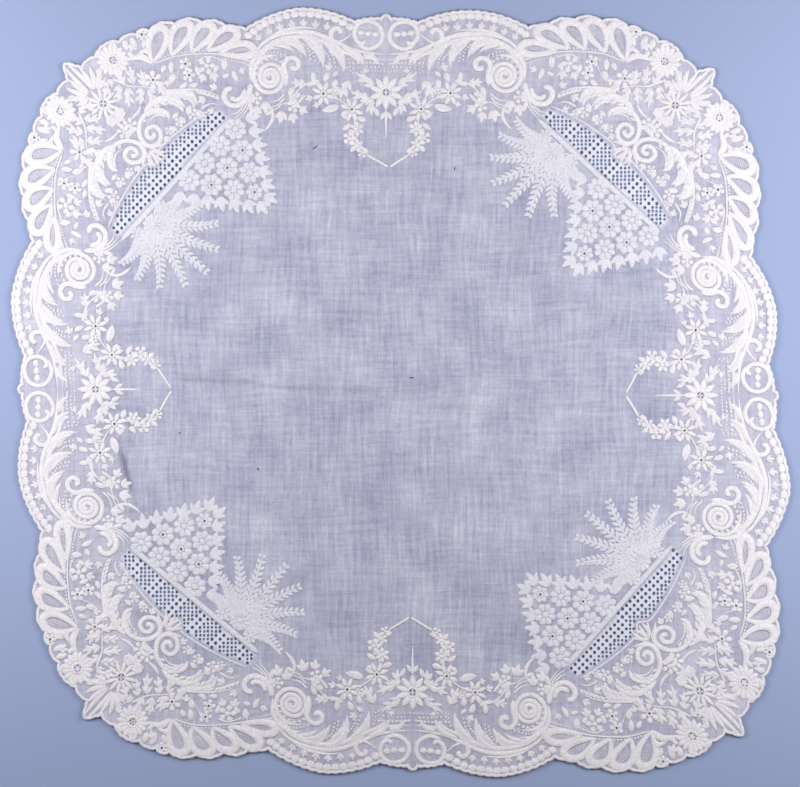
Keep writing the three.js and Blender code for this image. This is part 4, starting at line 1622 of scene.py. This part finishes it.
@dataclass(frozen=True)
class CornerSpray:
    """Two bouquets on the inner side of each lens, in the lens's own frame turned inwards."""

    loft: float = 0.32
    high_loft: float = 0.5
    frond_foot: Point = (-27.0, 5.0)
    posy_foot: Point = (24.0, 5.0)
    band_width: float = 3.4
    cord_width: float = 1.5
    edge_gap: float = 1.6
    edge_steps: int = 60
    fronds: Sequence[FrondRow] = (
        FrondRow(16, 22, 3.0),
        FrondRow(35, 31, 3.4),
        FrondRow(53, 39, 3.0),
        FrondRow(72, 43, 1.8),
        FrondRow(90, 45, 0.4),
        FrondRow(108, 43, -1.8),
        FrondRow(127, 39, -3.0),
        FrondRow(146, 34, -3.6),
        FrondRow(166, 28, -4.0),
    )
    frond_root: Point = (0.0, 2.0)
    frond_steps: int = 12
    frond_width: float = 1.5
    leaflets: int = 11
    leaflet: float = 8.0
    leaflet_width: float = 2.5
    leaflet_span: Point = (0.2, 0.99)
    leaflet_lean: float = 42.0
    leaflet_steps: int = 5
    sheaf: Sequence[FlowerRow] = (
        FlowerRow(0, 8, 6.4, 10, 3.0, 0),
        FlowerRow(-10, 5, 4.6, 8, 2.6, 0),
        FlowerRow(10, 5, 4.6, 8, 2.6, 0),
    )
    posy: Sequence[FlowerRow] = (
        FlowerRow(-19.4, 6.4, 6.6, 8, 4.4, 0),
        FlowerRow(-6.5, 6.4, 6.6, 8, 4.4, 0),
        FlowerRow(6.5, 6.4, 6.6, 8, 4.4, 0),
        FlowerRow(19.4, 6.4, 6.6, 8, 4.4, 0),
        FlowerRow(-13, 17.4, 6.8, 8, 4.6, 1),
        FlowerRow(0, 17.6, 6.8, 8, 4.6, 1),
        FlowerRow(13, 17.4, 6.8, 8, 4.6, 1),
        FlowerRow(-6.6, 28.6, 6.4, 8, 4.2, 0),
        FlowerRow(6.6, 28.6, 6.4, 8, 4.2, 0),
        FlowerRow(0, 38, 5.0, 7, 3.8, 1),
    )
    posy_corner: Point = (27.0, 7.0)
    posy_tip: Point = (2.4, 43.0)
    posy_sprigs: int = 7
    posy_sprig: float = 9.4
    posy_leaf_count: int = 3
    posy_leaf_steps: int = 7
    posy_top_angle: float = 78.0

    def frond_rows(self) -> tuple[list[np.ndarray], list[LeafRow]]:
        """Fan out fern fronds, each a bowed stem with pairs of leaflets that shorten to its tip.

        Returns:
            The line of each stem, and the leaflets of all.
        """
        stems, leaves = [], []
        foot = np.array(self.frond_root)
        along = np.repeat(np.linspace(*self.leaflet_span, self.leaflets), 2)
        turn = np.tile([-1.0, 1.0], self.leaflets)
        for row in self.fronds:
            angle = math.radians(row.angle)
            tip = foot + row.length * np.array([math.cos(angle), math.sin(angle)])
            stems.append(bowed(foot, tip, row.bow, np.linspace(0, 1, self.frond_steps)))
            bases = bowed(foot, tip, row.bow, along)
            lean = angle + math.radians(self.leaflet_lean) * turn
            reach = self.leaflet * (1.05 - 0.65 * along)
            tips = bases + reach[:, None] * heading(lean)
            leaves.extend(LeafRow(*base, *end, self.leaflet_width) for base, end in zip(bases, tips))
        return stems, leaves

    def posy_leaves(self) -> list[LeafRow]:
        """Set sprigs of leaves along both slanting sides of the posy, each pointing outwards.

        Returns:
            The leaves of all sprigs.
        """
        corner, tip = np.array(self.posy_corner), np.array(self.posy_tip)
        lean = math.degrees(math.atan2(corner[0] - tip[0], tip[1] - corner[1]))
        leaves = []
        for along in np.linspace(0, 1, self.posy_sprigs):
            x, y = corner + along * (tip - corner)
            angle = lean + along * (self.posy_top_angle - lean)
            for side_x, side_angle in ((x, angle), (-x, 180 - angle)):
                sprig = SprigRow(side_x, y, side_angle, self.posy_sprig, self.posy_leaf_count)
                leaves.extend(sprig_leaves(sprig))
        return leaves

    @staticmethod
    def blooms(rows: Sequence[FlowerRow]) -> list[tuple[np.ndarray, np.ndarray]]:
        """Give the lines and half widths of flowers and of their hearts."""
        return [part for row in rows for part in (petal_lines(row), Border.heart(row))]

    def eyelets(self, lens: Lens) -> np.ndarray:
        """Give the middles of the posy's eyelets on the cloth."""
        spots = np.array([[row.x, row.y] for row in self.posy if row.eyelets], float)
        return lens.place((spots + np.array(self.posy_foot)) * np.array([1, -1]))

    def work(self, needle: Needle, lens: Lens) -> list[Patch]:
        """Work both bouquets of a lens, a band under them, and a cord along its outer edge.

        Args:
            needle: the needle.
            lens: the lens of openwork.

        Returns:
            The worked bands.
        """
        stems, leaflets = self.frond_rows()
        cord = self.frond_width / 2 * Taper.CORD.share(np.linspace(0, 1, self.frond_steps))
        fern = [
            (np.stack(stems), cord),
            leaf_lines(leaflets, self.leaflet_steps),
            *self.blooms(self.sheaf),
        ]
        posy = [leaf_lines(self.posy_leaves(), self.posy_leaf_steps), *self.blooms(self.posy)]
        patches = []
        for foot, bouquet in ((self.frond_foot, fern), (self.posy_foot, posy)):
            for number, (lines, half) in enumerate(bouquet):
                inward = lens.place((lines + np.array(foot)) * np.array([1, -1]))
                patches.append(needle.satin(inward, half, self.high_loft if number > 1 else self.loft))
        lines = lens.edges(self.edge_gap, self.edge_steps)
        for line, width in zip(lines, (self.cord_width, self.band_width)):
            half = width / 2 * Taper.CORD.share(np.linspace(0, 1, self.edge_steps))
            patches.append(needle.satin(line[None], half, self.loft))
        return patches


@dataclass(frozen=True)
class Lint:
    """Dark flecks of lint that lie on the cloth."""

    rows: Sequence[FleckRow] = (
        FleckRow(-48, 137, 4.2, 40),
        FleckRow(30, 125, 2.2, 80),
        FleckRow(-124, -23, 2.0, 30),
        FleckRow(-80, -43, 2.2, 120),
        FleckRow(6, 8, 3.2, 5),
    )
    half_width: float = 0.35
    loft: float = 0.2
    steps: int = 6

    def work(self, needle: Needle) -> list[Patch]:
        """Lay each fleck as a thin straight fibre.

        Args:
            needle: the needle.

        Returns:
            The worked bands.
        """
        patches = []
        for row in self.rows:
            angle = math.radians(row.angle)
            reach = row.length / 2 * np.array([math.cos(angle), math.sin(angle)])
            middle = np.array([row.x, row.y])
            line = np.linspace(middle - reach, middle + reach, self.steps)[None]
            half = self.half_width * Taper.LEAF.share(np.linspace(0, 1, self.steps))
            patches.append(needle.satin(line, half, self.loft))
        return patches


def linear(red: int, green: int, blue: int) -> Colour:
    """Turn a display colour into the linear colour that a shader takes, by the sRGB curve.

    Args:
        red: the red value, 0 to 255.
        green: the green value.
        blue: the blue value.

    Returns:
        The linear colour, opaque.
    """
    share = np.array([red, green, blue]) / 255
    value = np.where(share <= 0.04045, share / 12.92, ((share + 0.055) / 1.055) ** 2.4)
    return (*(float(v) for v in value), 1.0)


class NodeBench:
    """Sets up a material's nodes."""

    def __init__(self, name: str) -> None:
        """Start a material with a plain shader.

        Args:
            name: the material's name.
        """
        self.material = bpy.data.materials.new(name)
        self.material.use_nodes = True
        self.tree = self.material.node_tree
        self.shader = self.tree.nodes["Principled BSDF"]

    def node(self, kind: str, **settings: object) -> bpy.types.Node:
        """Add a node.

        Args:
            kind: the node's type.
            settings: its properties and inputs by name, with _ for a space in an input's name.

        Returns:
            The node.
        """
        node = self.tree.nodes.new(kind)
        for key, value in settings.items():
            if hasattr(node, key):
                setattr(node, key, value)
            else:
                node.inputs[key.replace("_", " ")].default_value = value
        return node

    def link(self, source: bpy.types.NodeSocket, target: bpy.types.NodeSocket) -> None:
        """Join two sockets."""
        self.tree.links.new(source, target)

    def feed(self, socket: bpy.types.NodeSocket, value: object) -> None:
        """Give a socket a value, or join it to another socket.

        Args:
            socket: the socket to feed.
            value: a number, a colour or another socket.
        """
        if isinstance(value, bpy.types.NodeSocket):
            self.link(value, socket)
        else:
            socket.default_value = value

    def place(self) -> bpy.types.NodeSocket:
        """Give the object coordinates."""
        return self.node("ShaderNodeTexCoord").outputs["Object"]

    def bent(self, scale: float, reach: float) -> bpy.types.NodeSocket:
        """Let object coordinates wander a little, as threads do in a washed cloth.

        Args:
            scale: the scale of the noise that moves them.
            reach: how far it moves them, in metres.

        Returns:
            The socket of the moved coordinates.
        """
        place = self.place()
        wander = self.node("ShaderNodeTexNoise", Scale=scale, Detail=1.0)
        self.link(place, wander.inputs["Vector"])
        shift = self.node("ShaderNodeVectorMath", operation="SCALE", Scale=reach)
        self.link(wander.outputs["Color"], shift.inputs[0])
        moved = self.node("ShaderNodeVectorMath", operation="ADD")
        self.link(place, moved.inputs[0])
        self.link(shift.outputs["Vector"], moved.inputs[1])
        return moved.outputs["Vector"]

    def noise(
        self, scale: Place, detail: float, at: bpy.types.NodeSocket | None = None
    ) -> bpy.types.NodeSocket:
        """Add a noise stretched along the cloth.

        Args:
            scale: its scale along x, y and z.
            detail: its octaves.
            at: the coordinates that it reads, or the object's own where it is None.

        Returns:
            The socket of the noise, about 0.5 on the whole.
        """
        stretch = self.node("ShaderNodeMapping", Scale=scale)
        noise = self.node("ShaderNodeTexNoise", Scale=1.0, Detail=detail)
        self.link(at or self.place(), stretch.inputs["Vector"])
        self.link(stretch.outputs["Vector"], noise.inputs["Vector"])
        return noise.outputs["Fac"]

    def ranged(self, value: bpy.types.NodeSocket, **limits: float) -> bpy.types.NodeSocket:
        """Bring a value from one range to another, held at both ends.

        Args:
            value: the socket of the value.
            limits: the ranges' ends, by the names of the node's inputs.

        Returns:
            The socket of the new value.
        """
        node = self.node("ShaderNodeMapRange", **limits)
        self.link(value, node.inputs["Value"])
        return node.outputs["Result"]

    def stitch(self) -> tuple[bpy.types.NodeSocket, bpy.types.bpy_prop_collection]:
        """Read the piece's stitch attribute.

        Returns:
            The socket of the whole, and the sockets X, Y and Z of its parts.
        """
        mark = self.node("ShaderNodeAttribute", attribute_name="stitch")
        parts = self.node("ShaderNodeSeparateXYZ")
        self.link(mark.outputs["Vector"], parts.inputs["Vector"])
        return mark.outputs["Vector"], parts.outputs

    def spot(self, middle: Place, radius: float) -> bpy.types.NodeSocket:
        """Give a share that rises from nothing at a radius to one at the middle of a spot.

        Args:
            middle: the spot's middle, in metres.
            radius: its radius, in metres.

        Returns:
            The socket of the share.
        """
        far = self.node("ShaderNodeVectorMath", operation="DISTANCE")
        self.link(self.place(), far.inputs[0])
        far.inputs[1].default_value = middle
        return self.ranged(far.outputs["Value"], From_Min=radius, From_Max=0.3 * radius)

    def math(self, operation: str, first: object, second: object) -> bpy.types.NodeSocket:
        """Add a sum, product or the like.

        Args:
            operation: the operation's name.
            first: a value or socket.
            second: a value or socket.

        Returns:
            The socket of the result.
        """
        node = self.node("ShaderNodeMath", operation=operation)
        for socket, value in zip(node.inputs, (first, second)):
            self.feed(socket, value)
        return node.outputs["Value"]

    def blend(self, share: bpy.types.NodeSocket, low: object, high: object) -> bpy.types.NodeSocket:
        """Mix two colours by a share.

        Args:
            share: the socket of the share.
            low: the colour or socket where it is 0.
            high: the colour or socket where it is 1.

        Returns:
            The socket of the mixed colour.
        """
        node = self.node("ShaderNodeMix", data_type="RGBA")
        self.link(share, node.inputs["Factor"])
        colours = [s for s in node.inputs if s.type == "RGBA"]
        for socket, value in zip(colours, (low, high)):
            self.feed(socket, value)
        return next(s for s in node.outputs if s.type == "RGBA")

    def bump(self, height: bpy.types.NodeSocket, strength: float, distance: float) -> None:
        """Give the shader a bump.

        Args:
            height: the socket of the height.
            strength: how strongly it shows.
            distance: how high it stands, in metres.
        """
        node = self.node("ShaderNodeBump", Strength=strength, Distance=distance)
        self.link(height, node.inputs["Height"])
        self.link(node.outputs["Normal"], self.shader.inputs["Normal"])


@dataclass(frozen=True)
class LawnFinish:
    """Sheer plain-weave lawn, with slubs that run along both threads."""

    shade: Colour = linear(158, 160, 189)
    light: Colour = linear(206, 205, 222)
    rosy: Colour = linear(188, 181, 200)
    haze: Colour = linear(222, 216, 232)
    # The colour of the painted shade laid in crease troughs.
    trough_shade: Colour = linear(92, 93, 112)
    worked: Colour = linear(214, 215, 228)
    threads: Sequence[GrainRow] = (
        GrainRow((1200, 75, 1), 2, 0.22),
        GrainRow((460, 32, 1), 2, 0.28),
        GrainRow((75, 1100, 1), 2, 0.14),
        GrainRow((32, 400, 1), 2, 0.2),
        GrainRow((420, 420, 1), 3, 0.16),
    )
    cloud: GrainRow = GrainRow((34, 34, 34), 4, 0.4)
    blush: GrainRow = GrainRow((52, 52, 52), 2, 0.6)
    veil: GrainRow = GrainRow((210, 210, 210), 3, 0.48)
    darkest: float = 0.345
    lightest: float = 0.655
    trough_shading: float = 0.64
    cover: float = 0.76
    cover_more: float = 0.16
    rough: float = 0.9
    gloss: float = 0.2

    def make(self) -> bpy.types.Material:
        """Build the material: streaked and clouded colour, uneven cover and a woven bump.

        Returns:
            The material, which reads the sheet's marks for openwork, border and painted shade in crease
            troughs.
        """
        bench = NodeBench("lawn")
        bent = bench.bent(14.0, 0.008)
        layers = [bench.math("MULTIPLY", bench.noise(*row[:2], bent), row.weight) for row in self.threads]
        streak = layers[0]
        for layer in layers[1:]:
            streak = bench.math("ADD", streak, layer)
        cloud = bench.math("SUBTRACT", bench.noise(*self.cloud[:2]), 0.5)
        clouded = bench.math("ADD", streak, bench.math("MULTIPLY", cloud, self.cloud.weight))
        share = bench.ranged(clouded, From_Min=self.darkest, From_Max=self.lightest)
        plain = bench.blend(share, self.shade, self.light)
        blush = bench.noise(*self.blush[:2])
        blush = bench.ranged(blush, From_Min=0.5, From_Max=0.8, To_Max=self.blush.weight)
        plain = bench.blend(blush, plain, self.rosy)
        _, marks = bench.stitch()
        # Painted shade in crease troughs, read from the sheet's third mark.
        plain = bench.blend(bench.math("MULTIPLY", marks["Z"], self.trough_shading), plain, self.trough_shade)
        veil = bench.math("MULTIPLY", bench.noise(*self.veil[:2]), self.veil.weight)
        plain = bench.blend(bench.math("MULTIPLY", marks["Y"], veil), plain, self.haze)
        bench.link(bench.blend(marks["X"], plain, self.worked), bench.shader.inputs["Base Color"])
        cover = bench.math("ADD", bench.math("MULTIPLY", share, self.cover_more), self.cover)
        bench.link(bench.math("MAXIMUM", cover, marks["X"]), bench.shader.inputs["Alpha"])
        bench.shader.inputs["Roughness"].default_value = self.rough
        bench.shader.inputs["Specular IOR Level"].default_value = self.gloss
        bench.bump(streak, 0.4, 0.0004)
        return bench.material


@dataclass(frozen=True)
class ThreadFinish:
    """White satin-stitch thread, laid side by side across each motif."""

    name: str
    # The edge colour is painted shade on the flanks and the middle groove, which also softens the edges
    # towards the ground; random gaps between stitches take it too.
    edge: Colour
    shade: Colour
    light: Colour
    thread: float = 0.42
    grain: Sequence[GrainRow] = (GrainRow((160, 160, 160), 3, 0.5), GrainRow((700, 700, 700), 2, 0.5))
    groove_half: float = 0.16
    rough: float = 0.8
    gloss: float = 0.15
    stain: Colour = linear(150, 146, 112)
    stain_middle: Place = (-0.152, -0.0183, 0.0016)
    stain_radius: float = 0.0021

    def make(self) -> bpy.types.Material:
        """Build the material: uneven white, with painted shade on the flanks and along the middle groove, and
        a ridge for each thread.

        Returns:
            The material, which reads each band's stitch coordinates.
        """
        bench = NodeBench(self.name)
        grain = [bench.math("MULTIPLY", bench.noise(*row[:2]), row.weight) for row in self.grain]
        share = bench.ranged(bench.math("ADD", *grain), From_Min=0.38, From_Max=0.62)
        full = bench.blend(share, self.shade, self.light)
        mark, parts = bench.stitch()
        wave = bench.math("SINE", bench.math("MULTIPLY", parts["X"], TURN / self.thread), 0.0)
        ridge = bench.math("ADD", bench.math("MULTIPLY", wave, 0.5), 0.5)
        # Painted shade: the flanks and, where a band has a vein, its middle groove are darkened towards the
        # edge colour.
        across = bench.math("ABSOLUTE", parts["Y"], 0.0)
        flank = bench.math("POWER", across, 2.5)
        groove = bench.math("MULTIPLY", bench.math("LESS_THAN", across, self.groove_half), parts["Z"])
        streak = bench.noise((1.3, 0.5, 0.0), 2, mark)
        gap = bench.ranged(streak, From_Min=0.42, From_Max=0.70, To_Max=0.85)
        flank_and_groove_shade = bench.math("MAXIMUM", flank, bench.math("MULTIPLY", groove, 0.6))
        clean = bench.blend(bench.math("MAXIMUM", flank_and_groove_shade, gap), full, self.edge)
        stained = bench.blend(bench.spot(self.stain_middle, self.stain_radius), clean, self.stain)
        bench.link(stained, bench.shader.inputs["Base Color"])
        bench.shader.inputs["Roughness"].default_value = self.rough
        bench.shader.inputs["Specular IOR Level"].default_value = self.gloss
        bench.bump(bench.math("ADD", bench.math("MULTIPLY", ridge, 0.3), streak), 0.6, 0.0003)
        return bench.material


@dataclass(frozen=True)
class Studio:
    """The pale table, soft lights and a camera straight above."""

    origin: np.ndarray
    view_middle: Point = (-0.56, -0.84)
    view_width: float = 448.0
    eye_height: float = 2.0
    sensor: float = 36.0
    table: Colour = linear(150, 163, 199)
    table_reach: float = 6.0
    sky: Colour = (1.0, 1.0, 1.0, 1.0)
    sky_strength: float = 0.05
    lamps: Sequence[LampRow] = (
        LampRow("left", (-0.46, 0.11, 0.36), (0, 0.1, 0), 0.3, 2.76),
        LampRow("right", (0.46, 0.08, 0.36), (0, 0.1, 0), 0.3, 2.72),
    )
    ring_count: int = 10
    ring_radius: float = 1.6
    ring_height: float = 0.8
    ring_size: float = 0.8
    ring_watts: float = 2.3

    def floor(self) -> None:
        """Lay a plain matt table, faintly mottled."""
        bench = NodeBench("table")
        mottle = bench.noise((9, 9, 9), 2)
        dark = tuple(0.96 * c for c in self.table[:3]) + (1.0,)
        bench.link(bench.blend(mottle, dark, self.table), bench.shader.inputs["Base Color"])
        bench.shader.inputs["Roughness"].default_value = 0.95
        reach = self.table_reach
        corners = [(-reach, -reach, 0), (reach, -reach, 0), (reach, reach, 0), (-reach, reach, 0)]
        mesh = bpy.data.meshes.new("table")
        mesh.from_pydata(corners, [], [(0, 1, 2, 3)])
        mesh.materials.append(bench.material)
        table = bpy.data.objects.new("table", mesh)
        bpy.context.scene.collection.objects.link(table)

    @staticmethod
    def light(row: LampRow) -> None:
        """Hang a square soft light.

        Args:
            row: the light.
        """
        lamp = bpy.data.lights.new(row.name, "AREA")
        lamp.size = row.size
        lamp.energy = row.watts
        holder = bpy.data.objects.new(row.name, lamp)
        holder.location = row.place
        holder.rotation_euler = (Vector(row.aim) - Vector(row.place)).to_track_quat("-Z", "Y").to_euler()
        bpy.context.scene.collection.objects.link(holder)

    def ring(self) -> list[LampRow]:
        """Give a ring of lights that face down, for an even table all round.

        Returns:
            The lights of the ring.
        """
        rows = []
        for number in range(self.ring_count):
            angle = TURN * (number + 0.5) / self.ring_count
            x, y = self.ring_radius * math.cos(angle), self.ring_radius * math.sin(angle)
            place, aim = (x, y, self.ring_height), (x, y, 0)
            rows.append(LampRow(f"ring_{number}", place, aim, self.ring_size, self.ring_watts))
        return rows

    def camera(self) -> None:
        """Set a long lens straight above, framed as the cloth was seen."""
        eye = bpy.data.cameras.new("camera")
        eye.sensor_width = self.sensor
        eye.lens = self.sensor * self.eye_height / (self.view_width * MM)
        holder = bpy.data.objects.new("camera", eye)
        x, y = (np.array(self.view_middle) - self.origin) * MM
        holder.location = (x, y, self.eye_height)
        bpy.context.scene.collection.objects.link(holder)
        bpy.context.scene.camera = holder

    def build(self) -> None:
        """Set up the whole studio."""
        scene = bpy.context.scene
        scene.view_settings.view_transform = "Standard"
        world = bpy.data.worlds.new("sky")
        world.use_nodes = True
        sky = world.node_tree.nodes["Background"]
        sky.inputs["Color"].default_value = self.sky
        sky.inputs["Strength"].default_value = self.sky_strength
        scene.world = world
        self.floor()
        for row in (*self.lamps, *self.ring()):
            self.light(row)
        self.camera()


def build_needlework(
    needle: Needle, edge: ScallopedEdge, border: Border, spray: CornerSpray, lenses: Sequence[Lens]
) -> list[Needlework]:
    """Work every motif.

    Args:
        needle: the needle, with its layout and lawn.
        edge: the scalloped edge.
        border: the border's tables.
        spray: the bouquets inside each lens.
        lenses: the four lenses of openwork.

    Returns:
        The pieces of stitching, one for each kind of work.
    """
    parted = [lobe for row in (*border.side_foliage, *border.corner_foliage) for lobe in lobed(row)]
    plumes = [lobe for row in border.corner_plumes for lobe in plume_lobes(row)]
    stems = [*border.side_stems, *border.corner_stems]
    blooms = [*border.side_flowers, *border.corner_flowers, border.edge_flower]
    works = {
        "buttonhole_rim": [border.rim(needle, edge)],
        "feathers": border.feather_work(needle),
        "scrolls": [*border.stems(needle, stems), *border.scrolls(needle)],
        "leaves": border.leaves(needle, [*border.side_leaves, *border.corner_leaves]),
        "foliage": border.leaves(needle, [*parted, *plumes]),
        "sprigs": border.sprigs(needle, [*border.side_sprigs, *border.corner_sprigs]),
        "flowers": [*border.flowers(needle, blooms), *border.axis_work(needle)],
        "beads": border.beads(needle, [*border.side_beads, *border.corner_beads]),
        "corner_sprays": [patch for lens in lenses for patch in spray.work(needle, lens)],
    }
    return [Needlework(name, patches) for name, patches in works.items()]


def main() -> None:
    """Build the handkerchief and its studio."""
    logging.basicConfig(level=logging.INFO, format="%(name)s: %(message)s")
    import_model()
    layout = HandLayout()
    edge = ScallopedEdge(layout)
    border = Border()
    lenses = [Lens(row) for row in LENSES]
    spray = CornerSpray()
    eyelets = np.vstack([border.eyelets(layout), *(spray.eyelets(lens) for lens in lenses)])
    lawn = Lawn(edge, lenses, eyelets)
    needle = Needle(layout, lawn)
    maker = Maker(edge.middle())

    # Each finish's first colour is its edge colour, the painted shade on the flanks and in the middle groove.
    finishes = [
        ThreadFinish("satin_thread", linear(206, 202, 213), linear(229, 225, 230), linear(242, 238, 241)),
        ThreadFinish("fine_thread", linear(198, 196, 211), linear(217, 215, 226), linear(231, 229, 237)),
        ThreadFinish("lint", linear(70, 66, 72), linear(70, 66, 72), linear(104, 98, 100)),
    ]
    thread, fine_thread, lint = (finish.make() for finish in finishes)

    sheet = maker.piece("lawn_sheet", lawn.patch(), LawnFinish().make())
    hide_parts(NODE)
    for work in build_needlework(needle, edge, border, spray, lenses):
        finish = fine_thread if work.name == "corner_sprays" else thread
        maker.piece(work.name, work.joined(), finish)
    flecks = Needlework("lint_flecks", Lint().work(needle))
    maker.piece(flecks.name, flecks.joined(), lint)

    outline = edge.loop(2)

    Studio(edge.middle()).build()


if __name__ == "__main__":
    main()
